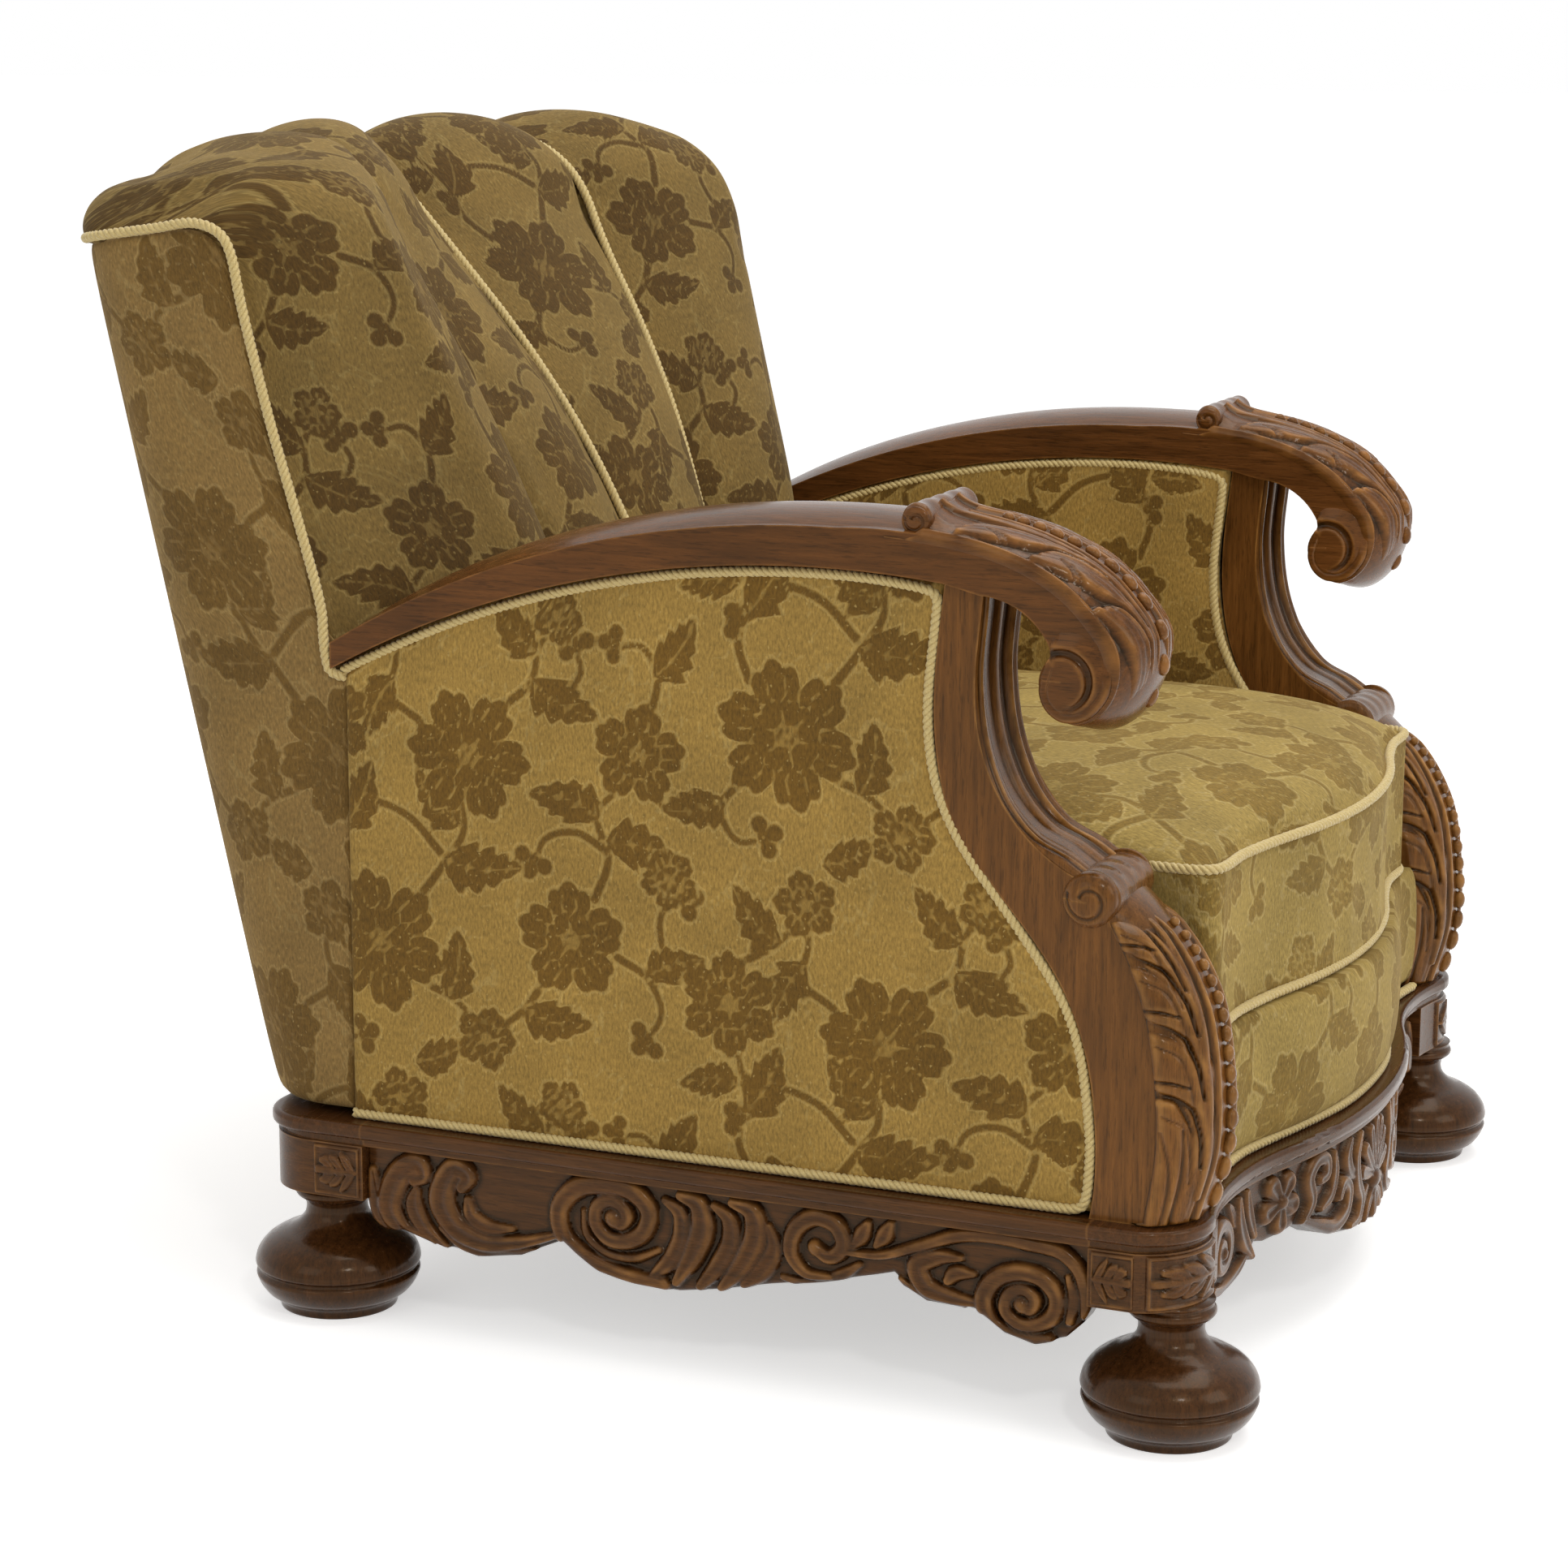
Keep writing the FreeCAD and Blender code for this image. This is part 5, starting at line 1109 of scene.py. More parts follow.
def carve(u, v, strokes, fuller=1.0):
    """Height of the carving at places u, v in mm: strokes are (points, half widths, height, hollow).
    A stroke of negative height is a groove, cut into what the strokes before it left standing."""
    height = np.zeros(u.shape)
    for line, widths, tall, flute in strokes:
        guide = np.column_stack([line, np.interp(np.linspace(0, 1, len(line)), np.linspace(0, 1, len(widths)), widths)])
        guide[:, 2] *= fuller
        path = smooth_line(guide, 9 * len(line))
        low, high = path[:, :2].min(0) - path[:, 2].max(), path[:, :2].max(0) + path[:, 2].max()
        near = np.nonzero((u > low[0]) & (u < high[0]) & (v > low[1]) & (v < high[1]))
        if not len(near[0]):
            continue
        pu, pv = u[near], v[near]
        ratio = np.full(pu.shape, 9.0)
        for a, b in zip(path, path[1:]):
            way = b[:2] - a[:2]
            t = np.clip(((pu - a[0]) * way[0] + (pv - a[1]) * way[1]) / max(way @ way, 1e-9), 0, 1)
            far = np.hypot(pu - a[0] - t * way[0], pv - a[1] - t * way[1])
            ratio = np.minimum(ratio, far / np.maximum(a[2] + t * (b[2] - a[2]), 0.2))
        if tall < 0:
            height[near] += tall * np.exp(-(1.6 * ratio) ** 2)
            continue
        body = tall * (np.sqrt(np.clip(1 - ratio ** 2, 0, None)) - flute * np.exp(-(ratio / 0.42) ** 2))
        height[near] = np.maximum(height[near], body)
    return height


def blurred(field, reach):
    """Mean over a square of points."""
    for axis in (0, 1):
        wide = np.pad(field, [(reach + 1, reach) if k == axis else (0, 0) for k in (0, 1)], mode="edge")
        total = np.cumsum(wide, axis=axis)
        size = field.shape[axis]
        upper = np.take(total, np.arange(2 * reach + 1, 2 * reach + 1 + size), axis=axis)
        lower = np.take(total, np.arange(0, size), axis=axis)
        field = (upper - lower) / (2 * reach + 1)
    return field


def carved_board(name, face, back, height, material, nodes=()):
    """A closed board from a carved face and a plain back, with ridges painted pale (wear and painted highlight)
    and hollows painted dark (old wax and painted shade).
    """
    rows, columns = height.shape
    board = mesh_object(name, at(pad_points(face, back)), pad_faces(rows, columns), material)
    stands = height - blurred(height, 4)
    for label, values in (("wear_and_highlight", np.clip(stands / 1.6 - 0.1, 0, 1)), ("hollow", np.clip(-stands / 1.4 - 0.15, 0, 1))):
        layer = board.data.attributes.new(label, "FLOAT", "POINT")
        layer.data.foreach_set("value", np.concatenate([values.ravel(), 0 * values.ravel()]).astype(np.float32))
    return settle(board, list(nodes), "chair")


def spiral(middle, start, end, turns, first, squash=1.0, count=22):
    """Points of a volute from its eye outwards."""
    t = np.linspace(0, 1, count)
    r = start + (end - start) * t ** 1.25
    a = first + turns * 2 * math.pi * t
    return [(middle[0] + r_ * math.cos(a_), middle[1] + squash * r_ * math.sin(a_)) for r_, a_ in zip(r, a)]


print("carving helpers ready")

# %% [markdown]
# ## Side aprons
# Each side apron is a pierced-looking board under the ledge: curled acanthus leaves at the rear, a large
# volute with flutes beside it in the middle, a shell, and a second volute at the front. Places are in mm from the
# rear block and below the ledge.

# %% Side apron carving
ledge_under = 129.7
apron_low = [(0, 44), (3, 56), (12, 60), (27, 58), (55, 66), (84, 70), (118, 64), (140, 54), (151, 49), (160, 56),
             (178, 68), (205, 74), (235, 74), (263, 69), (300, 60), (340, 52), (375, 43), (389, 39), (397, 46),
             (413, 54), (437, 55), (453, 57), (468, 67), (489, 72), (508, 66), (520, 54), (525, 44)]
side_strokes = [
    ([(50, 64), (26, 57), (17, 44), (20, 28), (30, 14), (40, 9), (44, 16), (37, 21)], [3, 8, 9, 8, 6, 4], 7.5, 0.35),
    ([(30, 63), (10, 50), (6, 34), (4, 18)], [3, 6, 6, 3], 5.5, 0.3),
    ([(60, 66), (42, 52), (36, 38), (38, 28)], [2, 6, 6, 3], 6.0, 0.35),
    ([(150, 44), (116, 55), (88, 58), (66, 48), (58, 34), (62, 17), (70, 8), (79, 13), (74, 21)],
     [2, 5, 8, 9, 8, 6, 4], 8.0, 0.35),
    ([(128, 60), (96, 66), (74, 62), (58, 52)], [2, 5, 5, 3], 5.5, 0.3),
    ([(112, 46), (92, 47), (80, 40), (78, 30)], [2, 5, 5, 3], 5.5, 0.3),
    ([(189, 27), (194, 31), (199, 26), (195, 18), (186, 15), (177, 21), (176, 32), (185, 42), (199, 42), (211, 34),
      (215, 20), (204, 8), (183, 5), (160, 11), (148, 27), (151, 45), (166, 57), (190, 65), (226, 69)],
     [4.5, 4.5, 5, 5.5, 6, 6.5, 6, 4], 8.0, 0.18),
    ([(189, 27), (190, 28)], [6, 6], 9.5, 0.0),
    ([(166, 26), (168, 42), (182, 53), (204, 54), (222, 46)], [2, 3, 3, 2], 4.0, 0.0),
    ([(238, 5), (251, 10), (254, 22), (248, 43), (235, 66)], [3, 6, 7.5, 7, 3], 8.0, 0.3),
    ([(226, 10), (237, 17), (239, 32), (232, 50), (218, 64)], [2, 5, 6, 6, 3], 6.5, 0.3),
    ([(276, 5), (290, 10), (293, 22), (285, 44), (268, 66)], [3, 6, 7.5, 7, 3], 8.0, 0.3),
    ([(262, 9), (273, 17), (275, 32), (266, 50), (252, 67)], [2, 5, 6.5, 6, 3], 6.5, 0.3),
    ([(302, 18), (306, 32), (298, 48), (284, 62)], [2, 5, 6, 3], 6.0, 0.3),
    ([(346, 47), (328, 46), (318, 34), (322, 16), (336, 7), (351, 12), (355, 25), (345, 33), (335, 28)],
     [2, 4.5, 5.5, 5.5, 5, 4], 7.5, 0.25),
    ([(335, 28), (336, 29)], [4.5, 4.5], 7.5, 0.0),
    ([(312, 52), (330, 55), (352, 46), (366, 36)], [2, 4, 4, 2], 5.0, 0.2),
    ([(362, 24), (368, 15), (372, 7)], [2, 5, 2.5], 5.5, 0.3),
    ([(378, 21), (384, 13), (388, 5)], [2, 5, 2.5], 5.5, 0.3),
    ([(358, 28), (380, 27), (408, 17), (436, 6), (484, 5), (507, 9), (517, 18), (522, 32), (523, 48)],
     [2, 3, 4, 4.5, 4.5, 4.5, 4], 7.0, 0.15),
    ([(437, 21), (420, 23), (407, 31), (412, 43), (430, 49), (450, 50)], [2, 5, 6.5, 6.5, 5, 2.5], 7.0, 0.35),
    ([(446, 31), (432, 33), (428, 38)], [2, 4.5, 3], 5.5, 0.3),
    ([(395, 42), (404, 50), (420, 54), (438, 55)], [2, 4, 4, 2], 5.0, 0.25),
    ([(479, 46), (485, 49), (488, 42), (481, 36), (471, 40), (468, 50), (477, 59), (491, 58), (501, 50), (503, 39),
      (494, 28), (477, 25), (460, 33), (453, 47), (458, 61), (475, 69), (497, 68)],
     [4, 4, 4.5, 5, 5.5, 6, 4], 8.0, 0.18),
    ([(479, 46), (480, 47)], [5, 5], 9.0, 0.0),
    ([(510, 24), (514, 38), (511, 54)], [2, 4, 2.5], 5.0, 0.2),
]
step = 1.15
apron_long, apron_rear, apron_face, apron_back = 525, 263.0, 357.8, 338.0
columns, rows = int(apron_long / step), int(74 / step)
s, t = np.meshgrid(np.linspace(0, apron_long, columns), np.linspace(0, 1, rows))
low_line = np.array(apron_low, float)
deepest = np.interp(s, low_line[:, 0], low_line[:, 1])
depth = t * deepest
relief = carve(s, depth, side_strokes, 1.25)
rounding = 3.0 * np.exp(-(deepest - depth) / 2.2)
for side, hand in hands:
    face = np.stack([side * (apron_face + relief - rounding), apron_rear - s, ledge_under - depth], -1)
    back = np.stack([np.full(s.shape, side * apron_back), apron_rear - s, ledge_under - depth], -1)
    board = carved_board(hand + "_side_apron_carving", face, back, relief, oak_base, [hand + "_side_apron"])
print("side apron", len(side_strokes), "strokes,", len(board.data.polygons), "faces")

# %% [markdown]
# ## Front apron
# The front apron follows the serpentine plan. From the middle outwards it has a shell in a frame of scrolls, a hanging
# leaf below it, a five-petalled flower, a fluted leaf and an oval volute beside the corner block. One half is
# drawn and the other mirrors it.

# %% Front apron carving
front_low = [(0, 81), (36, 79), (66, 73), (90, 66), (110, 56), (127, 48), (139, 50), (165, 51), (178, 48), (186, 59),
             (205, 64), (223, 67), (240, 68), (255, 66), (268, 58), (280, 45)]
front_strokes = [
    (spiral((244, 35), 1, 24, 1.9, 1.0, 0.95), [3.5, 5, 6], 8.0, 0.18),
    ([(244, 35), (245, 36)], [5, 5], 9.0, 0.0),
    ([(258, 58), (236, 64), (212, 60), (196, 50)], [3, 5, 5, 2], 6.0, 0.25),
    ([(212, 8), (208, 26), (200, 42), (190, 54)], [3, 6, 6, 2.5], 7.5, 0.3),
    ([(198, 7), (194, 24), (187, 40)], [3, 5.5, 3], 6.5, 0.3),
    ([(226, 8), (220, 14), (216, 24)], [2, 4, 3], 5.0, 0.3),
    ([(270, 10), (274, 26), (272, 44)], [2, 4.5, 3], 5.5, 0.3),
    ([(128, 46), (118, 34), (122, 16), (112, 7), (98, 10), (98, 20), (106, 22)], [3, 6, 6, 5, 5, 4], 7.5, 0.25),
    ([(128, 46), (104, 56), (80, 62), (62, 54), (60, 40), (70, 34), (76, 42)], [3, 6, 6, 6, 5, 4], 8.0, 0.25),
    ([(84, 8), (82, 24), (88, 38), (102, 44)], [2, 5, 5, 2.5], 6.0, 0.3),
    ([(58, 6), (62, 18), (56, 30), (44, 34)], [3, 6, 6, 3], 7.0, 0.3),
    ([(40, 6), (46, 22), (42, 42), (34, 56), (40, 68), (54, 70)], [3, 5, 6, 6, 5, 3], 8.0, 0.25),
    ([(0, 62), (0, 72), (0, 79)], [7, 5, 2], 8.0, 0.3),
    ([(4, 58), (14, 66), (20, 76)], [3, 5, 2.5], 7.0, 0.3),
    ([(18, 52), (28, 62), (32, 74)], [3, 5, 2.5], 6.0, 0.3),
]
for k in range(4):
    a = math.radians(90 - 26 * k)
    front_strokes.append(([(6 * math.cos(a), 46 - 6 * math.sin(a)), (18 * math.cos(a), 46 - 20 * math.sin(a)),
                           (30 * math.cos(a), 46 - 38 * math.sin(a))], [2.5, 5, 5.5], 7.5, 0.35))
front_strokes.append(([(0, 50), (1, 50)], [8, 8], 8.5, 0.0))
for k in range(5):
    a = 2 * math.pi * k / 5 + 0.3
    petal = [(156 + r * math.cos(a), 25 + r * math.sin(a)) for r in (5, 15)]
    front_strokes.append((petal, [4, 7.5], 7.0, 0.4))
front_strokes.append(([(156, 25), (157, 25)], [5.5, 5.5], 8.0, 0.0))
columns, rows = int(575 / step), int(80 / step)
x, t = np.meshgrid(np.linspace(-279.5, 279.5, columns), np.linspace(0, 1, rows))
low_line = np.array(front_low, float)
deepest = np.interp(np.abs(x), low_line[:, 0], low_line[:, 1])
depth = t * deepest
relief = carve(np.abs(x), depth, front_strokes, 1.2)
rounding = 3.0 * np.exp(-(deepest - depth) / 2.2)
face = np.stack([x, front_y(x, 13.0) - relief + rounding, ledge_under - depth], -1)
back = np.stack([x, front_y(x, 32.0), ledge_under - depth], -1)
board = carved_board("front_apron_carving", face, back, relief, oak_across, ["front_apron"])
print("front apron", len(front_strokes), "strokes,", len(board.data.polygons), "faces")

# %% [markdown]
# ## Leaves over the arms
# From the middle of each arm a large acanthus leaf rolls forward over the scroll and down to its volute. It starts in a
# small curled lip, a string of beads runs down its middle between two ribs, and its lobes fold over both edges.

# %% Arm leaf carving


def bowed(x, half, rise):
    """Height of a circular bow over a half width, at x."""
    radius = (half ** 2 + rise ** 2) / (2 * rise)
    return np.sqrt(np.maximum(radius ** 2 - x ** 2, 0.0)) - (radius - rise)


arm_middle, arm_half = 316.0, 48.6
arm_line = smooth_line([(-118, 579.6), (-149, 577), (-182, 571.5), (-213, 561), (-238, 546), (-255, 529), (-266, 513),
                        (-269, 498), (-267, 486), (-262, 476), (-254, 468.5), (-245, 465)], 190)
arm_run = arc_length(arm_line)
way = np.gradient(arm_line, arm_run, axis=0)
arm_out = np.stack([way[:, 1], -way[:, 0]], -1)
arm_out *= np.sign(arm_out[0, 1])
arm_crown = 18.0 * np.interp(arm_run / arm_run[-1], [0, 0.12, 0.3, 0.42, 0.6, 0.75, 0.88, 1.0],
                             [0.5, 0.5, 0.6, 0.68, 0.9, 0.95, 0.6, 0.1])
leaf_strokes, veins, rims = [], [], []
for hand in (-1, 1):
    leaf_strokes.append(([(hand * 8.6, 40), (hand * 9.6, 120), (hand * 8.6, 238)], [1.6, 2.4, 2.2], 3.2, 0.0))
    leaf_strokes.append(([(hand * 14.5, 22), (hand * 17, 110), (hand * 14, 238)], [2.5, 4.0, 3.0], 4.4, 0.25))
    for tip in (46, 96, 146):
        for k in range(3):
            leaf_strokes.append(([(hand * (44 - 6 * k), tip + 3 * k), (hand * (40 - 6.5 * k), tip + 9 + 5 * k),
                                  (hand * (35 - 5.5 * k), tip + 30 + 4 * k), (hand * (29 - 4 * k), tip + 58),
                                  (hand * (22 - 2 * k), tip + 88)], [3.0, 5.2, 4.6, 3.4, 1.6], 5.4 - 0.5 * k, 0.1))
        veins.append(([(hand * 46, tip - 3), (hand * 40, tip - 6), (hand * 31, tip + 2), (hand * 23.5, tip + 20),
                       (hand * 20, tip + 44), (hand * 18, tip + 70)], [1.8, 2.6, 2.4, 1.9, 1.4, 1.0], -4.8, 0.0))
        for k in (1, 2):
            veins.append(([(hand * 45, tip - 4 - 6 * k), (hand * 40, tip - 10 - 6 * k), (hand * 34, tip - 24 - 6 * k)],
                          [1.3, 1.6, 0.8], -2.4, 0.0))
    rims.append(([(hand * 47.4, 16), (hand * 47.4, 120), (hand * 47.4, 240)], [2.4, 2.4, 2.4], 3.6, 0.0))
leaf_strokes += veins + rims
columns = 101
x, s = np.meshgrid(np.linspace(-arm_half, arm_half, columns), arm_run)
relief = np.maximum(carve(x, s, leaf_strokes), -0.3) * np.clip((arm_run[-1] - 10.0 - s) / 46.0, 0, 1)
edge = arm_half - np.abs(x)
begin = np.clip((s - 14.0) / 10.0, 0, 1)
stand = (bowed(x, arm_half, arm_crown[:, None]) + 0.6 + relief * np.clip(0.55 + edge / 10.0, 0, 1))
collar = np.clip((edge - 2.0) / 12.0, 0, 1)
stand += (20.0 - bowed(x, arm_half, 9.0)) * collar * np.exp(-np.clip(s - 20.0, 0, None) / 9.0)
stand = np.where(edge < 0.1, -5.0, stand) * begin - 4.0 * (1 - begin)
stand[-1] = -4.0
flow = arm_line[:, None, :] + arm_out[:, None, :] * stand[..., None]
under = arm_line[:, None, :] - arm_out[:, None, :] * 6.0 + 0 * stand[..., None]
for side, hand in hands:
    face = np.stack([side * arm_middle + x, flow[..., 0], flow[..., 1]], -1)
    back = np.stack([side * arm_middle + x * 0.97, under[..., 0], under[..., 1]], -1)
    board = carved_board(hand + "_arm_leaf", face, back, relief, oak_along)
print("arm leaf", round(arm_run[-1]), "mm long,", len(board.data.polygons), "faces")

# %% [markdown]
# Below the knee each post is bowed in plan, and a second leaf hangs down it. The strokes are of the same kind, and
# their grid is wrapped round the bow, so the lobes reach round both edges.

# %% Post leaf carving
post_middle, post_low, post_half = 319.0, 147.0, 39.4
post_levels = np.array([(post_low, -294, 30), (194, -301, 35), (244, -299, 36), (294, -289, 35), (337, -270, 25),
                        (352, -262, 15)], float)
post_line = smooth_line(post_levels, 220)
leaf_strokes, veins = [], []
for hand in (-1, 1):
    leaf_strokes.append(([(hand * 9, 205), (hand * 10, 110), (hand * 12.5, 0)], [1.6, 2.2, 2.6], 3.8, 0.0))
    leaf_strokes.append(([(hand * 14.5, 200), (hand * 16.5, 110), (hand * 20, 0)], [2.0, 3.4, 3.8], 3.8, 0.2))
    for tip, wide in ((192, 10), (156, 15), (113, 17)):
        leaf_strokes.append(([(hand * 17, tip - 96), (hand * 18, tip - 58), (hand * 22, tip - 28),
                              (hand * 29, tip - 10), (hand * post_half, tip - 4)],
                             [2.5, 5.0, 8.0, wide, wide], 5.2, 0.0))
    leaf_strokes.append(([(hand * 34, -8), (hand * 32.5, 30), (hand * 32.5, 60), (hand * 36, 80)],
                         [9, 10, 8.5, 6], 5.2, 0.0))
    leaf_strokes.append(([(hand * 23, -8), (hand * 22, 30), (hand * 21, 70)], [4.0, 4.5, 2.5], 4.2, 0.15))
    veins.append(([(hand * 37, 62), (hand * 33, 40), (hand * 31.5, 10), (hand * 32, -6)],
                  [1.2, 1.5, 1.4, 1.2], -2.0, 0.0))
    veins.append(([(hand * 28, 64), (hand * 27, 30), (hand * 27.5, -6)], [1.1, 1.6, 1.4], -2.4, 0.0))
    for notch in (204, 176, 135, 90):
        veins.append(([(hand * 40, notch + 4.5), (hand * 32, notch + 4.5), (hand * 25, notch + 1.5)],
                      [1.7, 1.8, 1.0], -3.2, 0.0))
        veins.append(([(hand * 40, notch - 5), (hand * 32, notch - 5.5), (hand * 25.5, notch - 11),
                       (hand * 21.5, notch - 25), (hand * 19, notch - 52)], [2.0, 2.3, 2.1, 1.7, 1.1], -4.4, 0.0))
        veins.append(([(hand * 36, notch - 17), (hand * 29, notch - 22), (hand * 25, notch - 38),
                       (hand * 23, notch - 62)], [1.1, 1.3, 1.2, 0.8], -1.5, 0.0))
leaf_strokes += veins
columns = 111
share, z = np.meshgrid(np.linspace(-1, 1, columns), post_line[:, 0])
relief = np.maximum(carve(post_half * share, z - post_low, leaf_strokes), -0.3)
nose = post_line[:, 2][:, None]
radius = (post_half ** 2 + nose ** 2) / (2 * nose)
angle = share * np.arcsin(post_half / radius)
edge = post_half * (1 - np.abs(share))
reach = radius + 0.7 + relief * np.clip(0.4 + edge / 9.0, 0, 1)
reach = np.where(edge < 0.4, radius - 2.0, reach)
reach -= 5.0 * np.clip((z - 331.0) / 11.0, 0, 1) ** 2
x, front = reach * np.sin(angle), post_line[:, 1][:, None] + radius - nose - reach * np.cos(angle)
front[0] += 4.0
front[-1] += 10.0
# The height given for colour dips along the leaf's edges, so a dark line of painted shade runs where the leaf meets the
# post.
for side, hand in hands:
    face = np.stack([side * post_middle + x, front, z], -1)
    back = np.stack([side * post_middle + 38.0 * share, post_line[:, 1][:, None] + 12.0 + 0 * x, z], -1)
    board = carved_board(hand + "_post_leaf", face, back, relief - 4.0 * np.exp(-(edge / 1.6) ** 2), oak_upright)
print("post leaf", len(board.data.polygons), "faces")

# %% [markdown]
# Above the knee the post's front is hollow, with a ridge on each side of a flat middle, as if run with a moulding
# plane. Four long strokes on a hollow grid make it.

# %% Hollow of the post
hollow_levels = np.array([(366, -255), (376, -240), (388, -216), (408, -198), (429, -188), (485, -178),
                          (530, -181), (545, -182)], float)
columns, rows = 67, 150
hollow_line = smooth_line(hollow_levels, rows)
ridges = [([(k, 0), (k, 90), (k, 185)], [2.6, 2.6, 2.6], 4.5, 0.0) for k in (-27, 27)]
ridges += [([(k, 0), (k, 90), (k, 185)], [5.5, 5.5, 5.5], 3.0, 0.0) for k in (-13, 13)]
x, z = np.meshgrid(np.linspace(-38.6, 38.6, columns), hollow_line[:, 0])
relief = carve(x, z - 364.0, ridges)
front = hollow_line[:, 1][:, None] + bowed(x, 39.0, np.full((rows, 1), 9.6)) - 1.0 - relief
front = np.where(np.abs(x) > 38.0, hollow_line[:, 1][:, None] + 6.0, front)
for side, hand in hands:
    face = np.stack([side * post_middle + x, front, z], -1)
    back = np.stack([side * post_middle + x, hollow_line[:, 1][:, None] + 16.0 + 0 * x, z], -1)
    board = carved_board(hand + "_post_hollow", face, back,
                         relief - 2.0 * bowed(x, 39.0, np.full((rows, 1), 1.0)), oak_upright)
print("post hollow", len(board.data.polygons), "faces")

# %% [markdown]
# ## Leaves on the corner blocks
# Each corner block has a leaf in a thin frame on its outer side, and the front ones have another round the rounded ear.
# The panel is bent onto the block's plan, so it hugs the ear as a carved panel would.

# %% Block panels
block_x, panel_top, rib = 368, 129.9, 19.5
leaf_panel = [([(2.5, 3), (2.5, 36)], [1.3, 1.3], 1.8, 0.0), ([(61.5, 3), (61.5, 36)], [1.3, 1.3], 1.8, 0.0),
              ([(3, 2.8), (61, 2.8)], [1.3, 1.3], 1.8, 0.0), ([(3, 36.2), (61, 36.2)], [1.3, 1.3], 1.8, 0.0)]
for hand in (-1, 1):
    for k, begin in enumerate((8, 22, 36)):
        leaf_panel.append(([(begin, rib + hand * 1.5), (begin + 8, rib + hand * 6),
                            (begin + 17, rib + hand * (13 - 3 * k))], [2.0, 4.6, 2.2], 3.6, 0.35))
leaf_panel.append(([(5, rib), (30, rib), (58, rib)], [1.6, 2.4, 3.4], 3.8, 0.2))


def block_panel(name, line, flip):
    """A carved panel of 64 by 39 mm bent along a line in plan, standing on the block's face."""
    line = spread(line, 66)
    step_way = np.gradient(line, axis=0)
    out = np.stack([step_way[:, 1], -step_way[:, 0]], -1) / np.linalg.norm(step_way, axis=1, keepdims=True)
    out *= np.sign(np.sum(out * line))
    u, v = np.meshgrid(np.linspace(0, 64, 66), np.linspace(0.5, 38.5, 40))
    relief = carve(64 - u if flip else u, v, leaf_panel)
    lift = np.where((u < 0.5) | (u > 63.5) | (v < 1) | (v > 38), -1.0, 0.35 + relief)
    flat = line[None] + out[None] * lift[..., None]
    face = np.stack([flat[..., 0], flat[..., 1], panel_top - v], -1)
    inner = line[None] - out[None] * 3.0 + 0 * flat
    back = np.stack([inner[..., 0], inner[..., 1], panel_top - v], -1)
    return carved_board(name, face, back, relief, oak_base)


ear_x = np.linspace(366.5, 308.0, 30)
ear = [(x_, float(front_y(np.array(x_), 3.0))) for x_ in ear_x]
for side, hand in hands:
    block_panel(hand + "_front_block_leaf", [(side * block_x, -264), (side * block_x, -293)], False)
    block_panel(hand + "_front_ear_leaf", [(side * x_, y_) for x_, y_ in ear], True)
    board = block_panel(hand + "_rear_block_leaf", [(side * block_x, 301), (side * block_x, 265)], True)
print("block panels", len(board.data.polygons), "faces each")

# %% [markdown]
# ## Rolled leaf tips
# The arm's leaf starts in a tip that rolls up and back like a collar, and the post's leaf ends in a bud rolled over
# at the knee. Each is a fluted roll across the wood, and its two ends show the spiral of the rolled edge.

# %% Lip and bud


def roll(name, middle, radii, width, middle_x, material):
    """A roll across the wood about (Y, z), with radii along Y and z, rounded off at both ends."""
    t, x = np.meshgrid(np.linspace(0, 2 * np.pi, 49), np.linspace(-1, 1, 61))
    full = np.sqrt(np.clip(1 - (np.clip(np.abs(x) * width - width + 5.0, 0, None) / 6.2) ** 2, 0, 1))
    flutes = 0.35 * np.cos(x * 13.0) * np.clip(np.sin(t), 0, 1)
    face = np.stack([middle_x + width * x, middle[0] + (radii[0] * full + flutes) * np.cos(t),
                     middle[1] + (radii[1] * full + flutes) * np.sin(t)], -1)
    back = np.stack([face[..., 0], middle[0] + 2.0 * np.cos(t), middle[1] + 2.0 * np.sin(t)], -1)
    return carved_board(name, face, back, 3.0 * flutes + 5.0 * full, material)


def roll_end(name, middle, radius, rise, face_x, outward, material):
    """The end of a roll, with the spiral that its rolled edge shows, painted dark along its cut as shade in the groove.
    """
    a, r = np.meshgrid(np.linspace(0, 2 * np.pi, 61), np.linspace(0, 1, 31))
    winding = radius * (0.3 + 0.5 * ((a - 0.4) % (2 * np.pi)) / (2 * np.pi))
    cut_line = 1.7 * np.exp(-((r * radius - winding) / 1.5) ** 2)
    height = rise * np.sqrt(np.clip(1 - r ** 2.2, 0, 1)) - cut_line
    height[-1] = -2.0
    y, z = middle[0] + radius * r * np.cos(a), middle[1] + radius * r * np.sin(a)
    face = np.stack([face_x + outward * height, y, z], -1)
    back = np.stack([np.full(a.shape, face_x - outward * 4.0), y, z], -1)
    return carved_board(name, face, back, -1.6 * cut_line, material)


lip_middle, bud_middle = (-137.0, 585.6), (-255.0, 353.5)
for side, hand in hands:
    roll(hand + "_arm_lip", lip_middle, (10.2, 11.2), 45.5, side * arm_middle, oak_along)
    roll(hand + "_knee_bud", bud_middle, (19.3, 16.6), 38.5, side * post_middle, oak_upright)
    for end in (-1, 1):
        label = "_outer" if end == side else "_inner"
        roll_end(hand + label + "_lip_end", lip_middle, 9.6, 3.6, side * arm_middle + end * 43.6, end, oak_along)
        board = roll_end(hand + label + "_bud_end", bud_middle, 18.2, 9.5 if end == side else 5.0,
                         side * post_middle + end * 36.6, end, oak_upright)
print("rolls with", len(board.data.polygons), "faces in an end")

